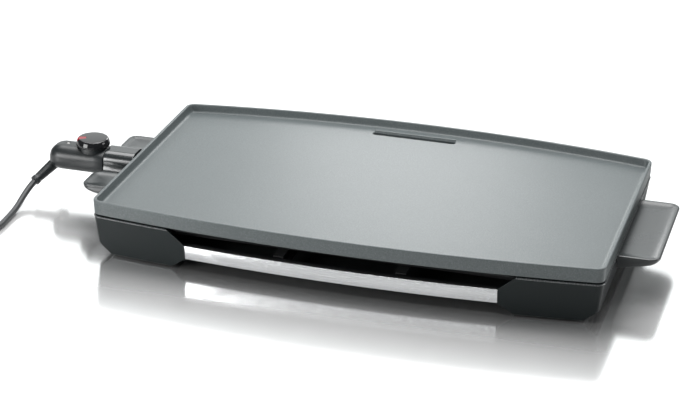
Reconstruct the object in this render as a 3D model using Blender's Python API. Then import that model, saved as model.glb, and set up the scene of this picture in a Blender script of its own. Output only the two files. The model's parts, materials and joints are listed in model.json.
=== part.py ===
"""Electric table griddle with a plug-in thermostat, built as separate parts.

Metres, +Z up. The long side runs along X, the drain slot is at +Y, and the thermostat leaves at -X.
All part coordinates below are written about the middle of the grill plate, with z = 0 on the table;
SHIFT_X and SHIFT_Y then put the middle of the griddle's box on the origin.
"""

import math

import bmesh
import bpy
from mathutils import Vector

for old in list(bpy.data.objects):
    bpy.data.objects.remove(old, do_unlink=True)

SHIFT_X, SHIFT_Y = 0.0325, -0.0030

# Grill plate
HALF_L = 0.2700  # half the length
HALF_W = 0.1465  # half the width at the corners
BOW_FRONT, BOW_BACK = 0.0185, 0.0245  # how far the long edges swell in the middle
CORNER_R = 0.0110
RIM_Z, SURFACE_Z, UNDER_Z, WALL_Z = 0.0625, 0.0535, 0.0490, 0.0470
SLOT_HALF, SLOT_Y0, SLOT_Y1 = 0.0475, 0.1425, 0.1500

# Base
BASE_TOP, BASE_LOW, FOOT_Z = 0.0456, 0.0125, 0.0020
DRAFT, SKIN = 0.13, 0.0022
CASE_IN, CASE_TOP_IN, CHAMFER_Z = 0.1650, 0.1838, 0.0297
TRIM_Z0, TRIM_Z1, TRIM_LEAN = 0.0131, 0.0287, 0.0018
TRIM_INSET, TRIM_T, RAIL_INSET, RAIL_T = 0.0060, 0.0013, 0.0076, 0.0060
HANDLE_HALF, HANDLE_TIP = 0.0745, 0.3120
TRAY_HALF, TRAY_Y0, TRAY_Y1 = 0.0530, 0.0800, 0.1660
GAP = 0.0003

# Heating and thermostat
PIN_Y, PIN_Z, PIN_R = 0.0085, 0.0455, 0.0020
HEATER_R, PROBE_R = 0.0032, 0.0025
SHROUD_X0, SHROUD_X1 = -0.3095, -0.2755
PLUG_X0, PLUG_X1 = -0.3770, -0.3102
PLUG_HALF, PLUG_Z0, PLUG_Z1, PLUG_SPLIT = 0.0175, 0.0298, 0.0583, 0.0385
KNOB_X, KNOB_R, KNOB_Z0, KNOB_Z1 = -0.3275, 0.0188, 0.0602, 0.0690

# Lead
CORD_D = 0.0068
COIL_X, COIL_Y, COIL_R, COIL_W, COIL_H, COIL_Z = -0.4200, -0.2150, 0.0370, 0.0204, 0.0136, 0.0013
RELIEF_A, RELIEF_B = Vector((-0.3735, 0.0, 0.0335)), Vector((-0.3862, -0.0250, 0.0210))
COIL_OUT = math.radians(205)  # where the last turn leaves the coil


def material(name, rgb, rough, metal=0.0):
    m = bpy.data.materials.new(name)
    m.use_nodes = True
    b = m.node_tree.nodes["Principled BSDF"]
    b.inputs["Base Color"].default_value = (*rgb, 1.0)
    b.inputs["Roughness"].default_value = rough
    b.inputs["Metallic"].default_value = metal
    m.diffuse_color = (*rgb, 1.0)
    return m


BLACK = material("base_plastic", (0.035, 0.040, 0.042), 0.55)
HANDLE = material("handle_plastic", (0.030, 0.033, 0.035), 0.45)
COAT = material("nonstick_coat", (0.055, 0.062, 0.064), 0.38, 0.1)
BRUSHED = material("trim_steel", (0.62, 0.63, 0.64), 0.28, 1.0)
RAIL = material("rail_plastic", (0.050, 0.052, 0.054), 0.5)
SHEET = material("shield_sheet", (0.045, 0.046, 0.048), 0.5, 0.4)
RUBBER = material("foot_rubber", (0.03, 0.03, 0.03), 0.8)
SILICONE = material("rest_silicone", (0.10, 0.10, 0.10), 0.7)
ZINC = material("screw_steel", (0.60, 0.60, 0.58), 0.35, 1.0)
HEATER = material("heater_sheath", (0.30, 0.29, 0.28), 0.5, 1.0)
PIN = material("pin_steel", (0.72, 0.72, 0.70), 0.25, 1.0)
GLOSS = material("shroud_plastic", (0.020, 0.022, 0.024), 0.18)
PLUG = material("plug_plastic", (0.035, 0.038, 0.040), 0.42)
BRASS = material("contact_brass", (0.75, 0.56, 0.25), 0.3, 1.0)
CERAMIC = material("switch_ceramic", (0.75, 0.72, 0.66), 0.5)
LENS = material("lamp_lens", (0.80, 0.18, 0.12), 0.1)
LAMP = material("lamp_glass", (0.85, 0.60, 0.45), 0.1)
KNOB = material("knob_plastic", (0.012, 0.012, 0.013), 0.08)
MARK = material("knob_mark", (0.70, 0.04, 0.05), 0.3)
TRAY = material("tray_plastic", (0.045, 0.047, 0.050), 0.45)
CORD = material("cord_jacket", (0.06, 0.06, 0.06), 0.5)
TIE = material("tie_strap", (0.05, 0.05, 0.05), 0.6)

BODIES = {}


def body(name, at):
    """An empty at a joint's place; the pieces that move with it hang on it."""
    e = bpy.data.objects.new(name, None)
    e.empty_display_size = 0.02
    e.location = (at[0] + SHIFT_X, at[1] + SHIFT_Y, at[2])
    bpy.context.collection.objects.link(e)
    BODIES[name] = Vector(e.location)
    return e


BASE = body("base_frame", (0, 0, 0))
PLATE = body("plate_frame", (0, 0, UNDER_Z))
THERMO = body("thermostat_frame", (PLUG_X1, 0, PIN_Z))
KNOB_AXIS = body("knob_axis", (KNOB_X, 0, KNOB_Z0))
TRAY_FRAME = body("tray_frame", (0, TRAY_Y0, TRIM_Z1))


def place(obj, parent, mat):
    """Hang an object, whose mesh is about the plate's middle, on its body's empty."""
    bpy.context.collection.objects.link(obj)
    shift = Vector((SHIFT_X, SHIFT_Y, 0)) - BODIES[parent.name]
    if obj.type == "MESH":
        for v in obj.data.vertices:
            v.co += shift
    else:
        for s in obj.data.splines:
            for p in s.points:
                p.co = (*(Vector(p.co[:3]) + shift), 1.0)
    obj.parent = parent
    obj.data.materials.append(mat)
    return obj


def mesh_object(name, bm, parent, mat, smooth=35):
    bmesh.ops.recalc_face_normals(bm, faces=bm.faces)
    me = bpy.data.meshes.new(name)
    bm.to_mesh(me)
    bm.free()
    if smooth:
        me.shade_smooth()
        me.set_sharp_from_angle(angle=math.radians(smooth))
    return place(bpy.data.objects.new(name, me), parent, mat)


def lofted(rings, loop=False):
    """Rings of points joined side to side. Open stacks are capped, loops are closed on themselves."""
    bm = bmesh.new()
    rows = [[bm.verts.new(p) for p in ring] for ring in rings]
    pairs = list(zip(rows, rows[1:])) + ([(rows[-1], rows[0])] if loop else [])
    for a, b in pairs:
        for i in range(len(a)):
            j = (i + 1) % len(a)
            bm.faces.new((a[i], a[j], b[j], b[i]))
    if not loop:
        bm.faces.new(rows[0])
        bm.faces.new(rows[-1])
    return bm


def frame_of(axis):
    z = Vector(axis).normalized()
    x = z.orthogonal().normalized()
    if abs(z.z) > 0.99:
        x = Vector((1, 0, 0))
    elif abs(z.z) < 1e-6:
        x = Vector((0, 0, 1))
    return x, z.cross(x), z


def turned(base, axis, profile, n=16, loop=False):
    """A body of revolution: profile holds (radius, distance along the axis)."""
    x, y, z = frame_of(axis)
    base = Vector(base)
    rings = [
        [
            base + z * h + (x * math.cos(t) + y * math.sin(t)) * r
            for t in (2 * math.pi * k / n for k in range(n))
        ]
        for r, h in profile
    ]
    return lofted(rings, loop)


def block(x0, x1, y0, y1, z0, z1):
    bm = bmesh.new()
    bmesh.ops.create_cube(bm, size=1.0)
    for v in bm.verts:
        v.co = (
            x0 if v.co.x < 0 else x1,
            y0 if v.co.y < 0 else y1,
            z0 if v.co.z < 0 else z1,
        )
    return bm


def prism(points, axis, low, high):
    """A flat outline pushed along one axis. The outline's two values are the other two axes in order."""
    def put(p, t):
        return {"x": (t, *p), "y": (p[0], t, p[1]), "z": (*p, t)}[axis]

    return lofted([[put(p, low) for p in points], [put(p, high) for p in points]])


def bool_with(obj, bm, parent, operation="DIFFERENCE"):
    """Cut or join with a hidden helper."""
    c = mesh_object(obj.name + "_tool", bm, parent, BLACK, smooth=0)
    c.hide_render = True
    c.display_type = "WIRE"
    m = obj.modifiers.new("bool", "BOOLEAN")
    m.operation, m.solver, m.object = operation, "EXACT", c
    return obj


def edge(x, front):
    """Half width of the plate at x, on the front or the back edge."""
    return HALF_W + (BOW_FRONT if front else BOW_BACK) * (1 - (x / HALF_L) ** 2)


def fillet(a, corner, b, r, n):
    """Points of a round between the two directions a->corner and corner->b."""
    u, v = (a - corner).normalized(), (b - corner).normalized()
    half = u.angle(v) / 2
    t = r / math.tan(half)
    mid = corner + (u + v).normalized() * (r / math.sin(half))
    p, q = corner + u * t, corner + v * t
    s, e = p - mid, q - mid
    turn = s.angle_signed(e)
    out = []
    for k in range(n + 1):
        w = -turn * k / n
        out.append(mid + Vector((s.x * math.cos(w) - s.y * math.sin(w), s.x * math.sin(w) + s.y * math.cos(w))))
    return out


def outline(inset, bows=12, corner=5):
    """The griddle's plan outline, moved inwards, anticlockwise from the front left."""
    hx, r = HALF_L - inset, max(CORNER_R - inset, 0.004)
    pts = []
    for front in (True, False):
        s = -1 if front else 1
        ends = [-hx, hx] if front else [hx, -hx]

        def at(x):
            return Vector((x, s * (edge(x, front) - inset)))

        c0, c1 = at(ends[0]), at(ends[1])
        reach = r * 1.1
        inner = [ends[0] + (ends[1] - ends[0]) * (reach / (2 * hx) + (1 - 2 * reach / (2 * hx)) * k / bows) for k in range(bows + 1)]
        side = Vector((0, -s))
        if front:
            pts += fillet(c0 + side, c0, at(inner[1]), r, corner)
            pts += [at(x) for x in inner[1:-1]]
            pts += fillet(at(inner[-2]), c1, c1 + side, r, corner)
        else:
            pts += fillet(c0 + side, c0, at(inner[1]), r, corner)
            pts += [at(x) for x in inner[1:-1]]
            pts += fillet(at(inner[-2]), c1, c1 + side, r, corner)
    return pts


def ring(inset, z, **kw):
    return [(p.x, p.y, z) for p in outline(inset, **kw)]


def rounded(hx, hy, r, n=4, cx=0.0, cy=0.0):
    """A rectangle with round corners, anticlockwise."""
    out = []
    for k, (sx, sy) in enumerate(((1, -1), (1, 1), (-1, 1), (-1, -1))):
        for i in range(n + 1):
            t = math.radians(-90 + 90 * k + 90 * i / n)
            out.append((cx + sx * (hx - r) + r * math.cos(t), cy + sy * (hy - r) + r * math.sin(t)))
    return out


def screw(name, base, axis, head_r, head_h, shank_r, length, parent):
    """A pan-head screw: the head's top is at base, the shank runs along axis."""
    prof = [(head_r * 0.72, 0), (head_r, head_h * 0.45), (head_r, head_h), (shank_r, head_h), (shank_r, length - 0.001), (shank_r * 0.4, length)]
    return mesh_object(name, turned(base, axis, prof, 12), parent, ZINC)


# ---------------------------------------------------------------- grill plate
plate = mesh_object(
    "grill_plate",
    lofted(
        [
            ring(0.0052, UNDER_Z),
            ring(0.0046, WALL_Z),
            ring(0.0014, WALL_Z),
            ring(0.0009, WALL_Z + 0.0006),
            ring(0.0002, RIM_Z - 0.0010),
            ring(0.0010, RIM_Z),
            ring(0.0030, RIM_Z),
            ring(0.0038, RIM_Z - 0.0008),
            ring(0.0054, SURFACE_Z + 0.0020),
            ring(0.0080, SURFACE_Z),
        ]
    ),
    PLATE,
    COAT,
)
# The drain: a spout under the slot, the slot itself, and a low ridge behind it.
bool_with(plate, prism(rounded(SLOT_HALF + 0.003, 0.0068, 0.003, 3, 0, (SLOT_Y0 + SLOT_Y1) / 2), "z", 0.0440, UNDER_Z + 0.0015), PLATE, "UNION")
bool_with(plate, prism(rounded(SLOT_HALF, (SLOT_Y1 - SLOT_Y0) / 2, 0.003, 3, 0, (SLOT_Y0 + SLOT_Y1) / 2), "z", 0.0400, RIM_Z), PLATE)
bool_with(
    plate,
    prism([(0.1508, SURFACE_Z - 0.001), (0.1536, SURFACE_Z - 0.001), (0.1531, SURFACE_Z + 0.0018), (0.1513, SURFACE_Z + 0.0018)], "x", -SLOT_HALF, SLOT_HALF),
    PLATE,
    "UNION",
)
# Screw bosses for the connector shroud, and the notch that the pins pass through.
for side in (-1, 1):
    bool_with(plate, turned((-0.2500, side * 0.0150, 0.0403), (0, 0, 1), [(0.0032, 0), (0.0032, 0.0100)], 12), PLATE, "UNION")
    bool_with(plate, turned((-0.2500, side * 0.0150, 0.0390), (0, 0, 1), [(0.0017, 0), (0.0017, 0.0085)], 10), PLATE)
bool_with(plate, block(-0.2750, -0.2645, -0.0165, 0.0165, 0.0450, UNDER_Z - 0.0001), PLATE)


def smooth_route(corners, r):
    """A flat polyline with round corners, as points."""
    pts = [Vector(corners[0])]
    for a, c, b in zip(corners, corners[1:], corners[2:]):
        pts += fillet(Vector(a), Vector(c), Vector(b), r, 5)
    return pts + [Vector(corners[-1])]


def tube(name, points, radius, parent, mat, resolution=2):
    cu = bpy.data.curves.new(name, "CURVE")
    cu.dimensions = "3D"
    cu.bevel_depth, cu.bevel_resolution, cu.use_fill_caps = radius, resolution, True
    sp = cu.splines.new("POLY")
    sp.points.add(len(points) - 1)
    for p, q in zip(sp.points, points):
        p.co = (*q, 1.0)
    return place(bpy.data.objects.new(name, cu), parent, mat)


heater_half = [(-0.2400, PIN_Y), (-0.2000, PIN_Y), (-0.2000, 0.1120), (0.2250, 0.1120), (0.2250, 0.0400), (-0.1400, 0.0400)]
heater_path = smooth_route(heater_half + [(x, -y) for x, y in reversed(heater_half)], 0.0180)
tube("heating_element", [(p.x, p.y, PIN_Z) for p in heater_path], HEATER_R, PLATE, HEATER)
for side, label in ((-1, "front"), (1, "rear")):
    mesh_object(
        "terminal_pin_" + label,
        turned((-0.2405, side * PIN_Y, PIN_Z), (-1, 0, 0), [(PIN_R, 0), (PIN_R, 0.0585), (PIN_R * 0.5, 0.0600)], 12),
        PLATE,
        PIN,
    )
mesh_object(
    "probe_sleeve",
    turned((-0.2620, 0, PIN_Z), (1, 0, 0), [(0.0028, 0), (0.0032, 0), (0.0032, 0.0350), (0.0015, 0.0360), (0.0005, 0.0335), (0.0028, 0.0330)], 14, loop=True),
    PLATE,
    PIN,
)


# ---------------------------------------------------------------- connector shroud on the plate
def yz_ring(x, hy, z0, z1, r, n=4):
    return [(x, p[0], p[1]) for p in rounded(hy, (z1 - z0) / 2, r, n, 0, (z0 + z1) / 2)]


shroud = mesh_object(
    "connector_shroud",
    lofted([yz_ring(SHROUD_X0, 0.0165, 0.0352, 0.0590, 0.0112, 6), yz_ring(SHROUD_X1, 0.0165, 0.0352, 0.0590, 0.0112, 6)]),
    PLATE,
    GLOSS,
)
bool_with(shroud, lofted([yz_ring(SHROUD_X0 - 0.002, 0.0138, 0.0405, 0.0540, 0.0020, 2), yz_ring(SHROUD_X1 - 0.0035, 0.0138, 0.0405, 0.0540, 0.0020, 2)]), PLATE)
bool_with(shroud, block(SHROUD_X1 - 0.0060, -0.2440, -0.0190, 0.0190, 0.0375, 0.0400), PLATE, "UNION")
bool_with(shroud, block(SHROUD_X1 - 0.0060, SHROUD_X1 + 0.0030, -0.0115, 0.0115, 0.0425, 0.0485), PLATE)
for side, label in ((-1, "front"), (1, "rear")):
    bool_with(shroud, turned((-0.2500, side * 0.0150, 0.0360), (0, 0, 1), [(0.0019, 0), (0.0019, 0.0060)], 10), PLATE)
    screw("shroud_screw_" + label, (-0.2500, side * 0.0150, 0.0350), (0, 0, 1), 0.0028, 0.0022, 0.0013, 0.0110, PLATE)


# ---------------------------------------------------------------- base casings
def draft_inset(z):
    return 0.0010 + (0.0440 - z) * DRAFT


def casing(side, name):
    """One end of the base: a drafted skin round the end, open below and towards the middle, with a ledge on top."""
    rings = [ring(draft_inset(FOOT_Z), FOOT_Z), ring(0.0010, 0.0444), ring(0.0022, BASE_TOP)]
    c = mesh_object(name, lofted(rings), BASE, BLACK)
    far = -side * 0.30
    # Keep only one end.
    bool_with(c, block(*sorted((far, side * CASE_IN)), -0.2, 0.2, -0.01, 0.06), BASE)
    # Hollow it, and open the top inside the ledge.
    bool_with(c, lofted([ring(draft_inset(0.0045) + SKIN, 0.0045), ring(0.0012 + SKIN, BASE_TOP - 0.0025)]), BASE)
    bool_with(c, lofted([ring(0.0170, 0.0400, corner=3), ring(0.0170, 0.0500, corner=3)]), BASE)
    # Sloping inner ends of the front and back skins.
    wedge = [(0.1600, CHAMFER_Z - 0.0042), (CASE_TOP_IN + 0.0060, BASE_TOP + 0.0051), (0.1600, BASE_TOP + 0.0051)]
    bool_with(c, prism([(side * x, z) for x, z in wedge], "y", -0.2, 0.2), BASE)
    # Below the skin only the feet remain.
    bool_with(c, block(*sorted((side * 0.15, side * 0.30)), -0.1180, 0.1230, -0.01, BASE_LOW), BASE)
    outer = [(0.2485, -0.010), (0.2485, 0.0008), (0.2625, BASE_LOW + 0.0005), (0.3000, BASE_LOW + 0.0005), (0.3000, -0.010)]
    inner = [(0.1500, -0.010), (0.1500, BASE_LOW - 0.0007), (0.1670, BASE_LOW - 0.0007), (0.1820, 0.0008), (0.1820, -0.010)]
    for cutter in (outer, inner):
        bool_with(c, prism([(side * x, z) for x, z in cutter], "y", -0.2, 0.2), BASE)
    # Screw holes for the handle.
    for y in (-0.0550, 0.0550):
        bool_with(c, turned((side * 0.2600, y, 0.0385), (side, 0, 0), [(0.0019, 0), (0.0019, 0.0120)], 10), BASE)
    if side < 0:
        # The notch that lets the connector and its pins rest in and lift out.
        bool_with(c, block(-0.2900, -0.2400, -0.0225, 0.0225, 0.0355, 0.0600), BASE)
    return c


casing(-1, "casing_left")
casing(1, "casing_right")


def handle(side, name):
    """A flat grip, thick at the root and thin at the tip."""
    profile = [(0.2694, BASE_TOP), (HANDLE_TIP - 0.0010, BASE_TOP), (HANDLE_TIP, BASE_TOP - 0.0010), (HANDLE_TIP, BASE_TOP - 0.0035), (0.3050, 0.0395), (0.2960, 0.0368), (0.2840, 0.0345), (0.2676, 0.0318)]
    h = mesh_object(name, prism([(side * x, z) for x, z in profile], "y", -HANDLE_HALF, HANDLE_HALF), BASE, HANDLE)
    plan = rounded(0.0600, HANDLE_HALF, 0.0105, 5, HANDLE_TIP - 0.0600, 0)
    trim = bpy.data.objects[h.name]
    m = bool_with(trim, prism([(side * x, y) for x, y in plan], "z", 0.02, 0.06), BASE, "INTERSECT")
    for y in (-0.0550, 0.0550):
        bool_with(h, turned((side * 0.2600, y, 0.0385), (side, 0, 0), [(0.0019, 0), (0.0019, 0.0245)], 10), BASE)
    if side < 0:
        bool_with(h, prism([(x, y) for x, y in rounded(0.0500, 0.0340, 0.0080, 3, -0.2730 - 0.0500, 0)], "z", 0.02, 0.06), BASE)
        # The grip's root stays whole under the connector.
        bool_with(h, block(-0.2850, -0.2600, -0.0225, 0.0225, 0.0362, 0.0600), BASE)
    return m


handle(-1, "handle_left")
handle(1, "handle_right")
for side, label in ((-1, "left"), (1, "right")):
    for y, end in ((-0.0550, "front"), (0.0550, "rear")):
        screw(f"handle_screw_{label}_{end}", (side * 0.2630, y, 0.0385), (side, 0, 0), 0.0030, 0.0024, 0.0015, 0.0210, BASE)


# ---------------------------------------------------------------- front rail, trim and rear rail
def bar(name, half, front, inset, thick, z0, z1, mat, n=16, lean=0.0):
    """A bar that follows the bowed edge. Its top may lean outwards."""
    s = -1 if front else 1
    rings = []
    for k in range(n + 1):
        x = -half + 2 * half * k / n
        y0, y1 = s * (edge(x, front) - inset), s * (edge(x, front) - inset - thick)
        rings.append([(x, y0, z0), (x, y1, z0), (x, y1 + s * lean, z1), (x, y0 + s * lean, z1)])
    return mesh_object(name, lofted(rings), BASE, mat)


bar("front_trim", CASE_IN - GAP - 0.0002, True, TRIM_INSET, TRIM_T, TRIM_Z0, TRIM_Z1, BRUSHED, lean=TRIM_LEAN)
front_rail = bar("front_rail", 0.1860, True, RAIL_INSET, RAIL_T, TRIM_Z0 + 0.0005, TRIM_Z1 - 0.0003, RAIL)
rear_rail = bar("rear_rail", 0.1860, False, RAIL_INSET, RAIL_T, TRIM_Z0 + 0.0005, 0.0415, RAIL)
bool_with(rear_rail, block(-0.0625, 0.0625, 0.1300, 0.1900, 0.0000, 0.0300), BASE)
for rail, front, label in ((front_rail, True, "front"), (rear_rail, False, "rear")):
    s = -1 if front else 1
    for side, end in ((-1, "left"), (1, "right")):
        x, back = side * 0.1780, edge(0.1780, front) - RAIL_INSET - RAIL_T
        bool_with(rail, turned((x, s * (back - 0.0100), 0.0210), (0, s, 0), [(0.0019, 0), (0.0019, 0.0250)], 10), BASE)
        screw(f"rail_screw_{label}_{end}", (x, s * (back - 0.0030), 0.0210), (0, s, 0), 0.0030, 0.0022, 0.0015, 0.0098, BASE)

# ---------------------------------------------------------------- heat shield, tray guides, feet and rests
SH_Y = (0.1300 - 0.1380) / 2
SH_H = (0.1300 + 0.1380) / 2


def shield_ring(grow, z, r):
    return [(x, y, z) for x, y in rounded(0.2340 + grow, SH_H + grow, r, 4, 0, SH_Y)]


shield = mesh_object(
    "heat_shield",
    lofted(
        [
            shield_ring(-0.0060, 0.0303, 0.012),
            shield_ring(0.0000, 0.0400, 0.016),
            shield_ring(0.0010, 0.0415, 0.017),
            shield_ring(0.0100, 0.0415, 0.022),
            shield_ring(0.0100, 0.0423, 0.022),
            shield_ring(0.0004, 0.0423, 0.016),
            shield_ring(-0.0012, 0.0404, 0.015),
            shield_ring(-0.0068, 0.0311, 0.011),
        ]
    ),
    BASE,
    SHEET,
)
bool_with(shield, block(-0.2600, -0.2250, -0.0240, 0.0240, 0.0335, 0.0500), BASE)
for side, label in ((-1, "left"), (1, "right")):
    section = [(0.0538, 0.0215), (0.0610, 0.0215), (0.0610, 0.0285), (0.0700, 0.0285), (0.0700, 0.0300), (0.0592, 0.0300), (0.0592, 0.0235), (0.0538, 0.0235)]
    mesh_object("tray_guide_" + label, prism([(side * x, z) for x, z in section], "y", -0.1495, 0.1553), BASE, SHEET, smooth=0)
    for y, end in ((-0.1310, "front"), (0.1370, "rear")):
        mesh_object(f"foot_pad_{end}_{label}", turned((side * 0.2150, y, 0.0), (0, 0, 1), [(0.0070, 0), (0.0080, 0.0006), (0.0080, FOOT_Z - GAP)], 20), BASE, RUBBER)
    for front, end in ((True, "front"), (False, "rear")):
        y = (-1 if front else 1) * (edge(0.2250, front) - 0.0100)
        mesh_object(f"plate_rest_{end}_{label}", turned((side * 0.2250, y, BASE_TOP + GAP), (0, 0, 1), [(0.0034, 0), (0.0034, 0.0022), (0.0028, UNDER_Z - BASE_TOP - 2 * GAP)], 14), BASE, SILICONE)

# The black floor of the base, cut away where the tray slides.
pan = mesh_object("base_floor", lofted([ring(0.0142, 0.0140, corner=3), ring(0.0142, 0.0156, corner=3)]), BASE, RAIL)
bool_with(pan, block(-0.0640, 0.0640, 0.0700, 0.2000, 0.0100, 0.0200), BASE)

# ---------------------------------------------------------------- grease tray
TY, TH = (TRAY_Y0 + TRAY_Y1) / 2, (TRAY_Y1 - TRAY_Y0) / 2


def tray_ring(grow, z, r):
    return [(x, y, z) for x, y in rounded(TRAY_HALF + grow, TH + grow, r, 4, 0, TY)]


tray = mesh_object(
    "grease_tray",
    lofted(
        [
            tray_ring(-0.0040, 0.0065, 0.006),
            tray_ring(-0.0006, 0.0110, 0.008),
            tray_ring(0.0000, 0.0242, 0.009),
            tray_ring(0.0045, 0.0242, 0.011),
            tray_ring(0.0045, 0.0260, 0.011),
            tray_ring(-0.0010, 0.0260, 0.008),
            tray_ring(-0.0018, 0.0110, 0.007),
            tray_ring(-0.0050, 0.0080, 0.005),
        ]
    ),
    TRAY_FRAME,
    TRAY,
)
bool_with(tray, prism([(0.1640, 0.0150), (0.1700, 0.0150), (0.1716, 0.0135), (0.1716, 0.0100), (0.1704, 0.0100), (0.1698, 0.0130), (0.1640, 0.0134)], "x", -0.0260, 0.0260), TRAY_FRAME, "UNION")

# ---------------------------------------------------------------- thermostat plug
PLUG_CZ, PLUG_HH = (PLUG_Z0 + PLUG_Z1) / 2, (PLUG_Z1 - PLUG_Z0) / 2


def housing_rings(grow, x1):
    """Sections along X: full size at the connector end, rounding off to a blunt nose at the lead's end."""
    steps = [0.0, 0.10, 0.25, 0.45, 0.70, 1.0]
    reach, rings = 0.0165, []
    for t in steps:
        k = math.sqrt(max(1 - (1 - t) ** 2.2, 0.0))
        k = 0.30 + 0.70 * k
        hy, hh = PLUG_HALF * k, PLUG_HH * k
        drop = -(PLUG_HH - hh) * 0.30
        x = PLUG_X0 + reach * t
        rings.append((x, hy, PLUG_CZ + drop, hh))
    rings.append((PLUG_X1, PLUG_HALF, PLUG_CZ, PLUG_HH))
    out = []
    for i, (x, hy, cz, hh) in enumerate(rings):
        x = x - grow if i == 0 else (x1 if i == len(rings) - 1 else x)
        hy, hh = hy + grow, hh + grow
        r = min(hy, hh) * 0.76
        out.append([(x, p[0], p[1]) for p in rounded(hy, hh, r, 6, 0, cz)])
    return out


def housing_half(upper):
    name = "plug_housing_upper" if upper else "plug_housing_lower"
    h = mesh_object(name, lofted(housing_rings(0.0, PLUG_X1)), THERMO, PLUG)
    if upper:
        bool_with(h, turned((KNOB_X, 0, 0.0540), (0, 0, 1), [(0.0150, 0), (0.0150, 0.0052), (0.0144, 0.0058)], 36), THERMO, "UNION")
        bool_with(h, block(-0.3900, -0.3000, -0.03, 0.03, 0.02, PLUG_SPLIT + GAP / 2), THERMO)
    else:
        bool_with(h, block(-0.3900, -0.3000, -0.03, 0.03, PLUG_SPLIT - GAP / 2, 0.07), THERMO)
    bool_with(h, lofted(housing_rings(-0.0020, PLUG_X1 - 0.0020)), THERMO)
    if upper:
        bool_with(h, turned((KNOB_X, 0, 0.0500), (0, 0, 1), [(0.0031, 0), (0.0031, 0.0120)], 14), THERMO)
        bool_with(h, block(PLUG_X1 - 0.0050, PLUG_X1 + 0.0020, -0.0138, 0.0138, 0.0407, 0.0515), THERMO)
        bool_with(h, turned((-0.3570, 0, 0.0500), (0, 0, 1), [(0.0025, 0), (0.0025, 0.0120)], 14), THERMO)
    for y in (-0.0066, 0.0066):
        if upper:
            bool_with(h, turned((-0.3655, y, PLUG_SPLIT + GAP / 2), (0, 0, 1), [(0.0026, 0), (0.0026, 0.0176)], 12), THERMO, "UNION")
            bool_with(h, turned((-0.3655, y, PLUG_SPLIT - 0.0020), (0, 0, 1), [(0.0014, 0), (0.0014, 0.0110)], 10), THERMO)
        else:
            bool_with(h, turned((-0.3655, y, 0.0312), (0, 0, 1), [(0.0030, 0), (0.0030, PLUG_SPLIT - GAP / 2 - 0.0312)], 12), THERMO, "UNION")
            bool_with(h, turned((-0.3655, y, 0.0250), (0, 0, 1), [(0.0024, 0), (0.0024, 0.0083), (0.0014, 0.0083), (0.0014, 0.0160)], 12), THERMO)
    return h


housing_half(True)
housing_half(False)
for y, label in ((-0.0066, "front"), (0.0066, "rear")):
    screw("housing_screw_" + label, (-0.3655, y, 0.0311), (0, 0, 1), 0.0020, 0.0020, 0.0011, 0.0150, THERMO)

nose = mesh_object("plug_nose", lofted([yz_ring(-0.3235, 0.0135, 0.0410, 0.0512, 0.0016, 2), yz_ring(-0.2840, 0.0135, 0.0410, 0.0512, 0.0016, 2)]), THERMO, PLUG)
for y, r in ((-PIN_Y, 0.0032), (PIN_Y, 0.0032), (0.0, PROBE_R + GAP)):
    bool_with(nose, turned((-0.3225, y, PIN_Z), (1, 0, 0), [(r, 0), (r, 0.0450)], 14), THERMO)
for side, label in ((-1, "front"), (1, "rear")):
    mesh_object("contact_socket_" + label, turned((-0.3222, side * PIN_Y, PIN_Z), (1, 0, 0), [(0.0023, 0), (0.0029, 0), (0.0029, 0.0365), (0.0023, 0.0365)], 14, loop=True), THERMO, BRASS)
mesh_object("probe_rod", turned((-0.3222, 0, PIN_Z), (1, 0, 0), [(PROBE_R, 0), (PROBE_R, 0.0870), (0.0012, 0.0905)], 14), THERMO, PIN)
mesh_object("thermostat_switch", block(-0.3560, -0.3245, -0.0085, 0.0085, 0.0345, 0.0425), THERMO, CERAMIC, smooth=0)
mesh_object("pilot_lamp", turned((-0.3570, 0, 0.0448), (0, 0, 1), [(0.0018, 0), (0.0020, 0.0010), (0.0020, 0.0080), (0.0008, 0.0103)], 12), THERMO, LAMP)
mesh_object("lamp_lens", turned((-0.3570, 0, 0.0553), (0, 0, 1), [(0.0021, 0), (0.0021, 0.0026), (0.0013, 0.0034)], 14), THERMO, LENS)

# ---------------------------------------------------------------- knob
KNOB_PROFILE = [(0.0172, 0), (0.0184, 0.0008), (KNOB_R, 0.0036), (0.0184, 0.0064), (0.0172, 0.0082), (0.0160, KNOB_Z1 - KNOB_Z0)]
MARK_AT = math.radians(203)  # the pointer's direction at rest


def wedge(r0, r1, half):
    """A plan outline on the knob that widens towards its rim."""
    u, v = Vector((math.cos(MARK_AT), math.sin(MARK_AT))), Vector((-math.sin(MARK_AT), math.cos(MARK_AT)))
    return [(KNOB_X + (u * r + v * w).x, (u * r + v * w).y) for r, w in ((r0, -half * 0.55), (r1, -half), (r1, half), (r0, half * 0.55))]


knob = mesh_object(
    "temperature_knob",
    turned((KNOB_X, 0, KNOB_Z0), (0, 0, 1), KNOB_PROFILE, 40),
    KNOB_AXIS,
    KNOB,
)
bool_with(knob, turned((KNOB_X, 0, KNOB_Z0 - 0.002), (0, 0, 1), [(0.0030, 0), (0.0030, 0.0080)], 14), KNOB_AXIS)
bool_with(knob, prism(wedge(0.0072, 0.0200, 0.0046), "z", KNOB_Z1 - 0.0030, KNOB_Z1 + 0.002), KNOB_AXIS)
mark = mesh_object("knob_mark", prism(wedge(0.0075, 0.0197, 0.0043), "z", KNOB_Z1 - 0.0027, KNOB_Z1 + 0.0015), KNOB_AXIS, MARK, smooth=0)
bool_with(mark, turned((KNOB_X, 0, KNOB_Z0), (0, 0, 1), KNOB_PROFILE, 40), KNOB_AXIS, "INTERSECT")
mesh_object("knob_spindle", turned((KNOB_X, 0, 0.0430), (0, 0, 1), [(0.0020, 0), (0.0027, 0.0008), (0.0027, 0.0216)], 14), KNOB_AXIS, PIN)

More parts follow.
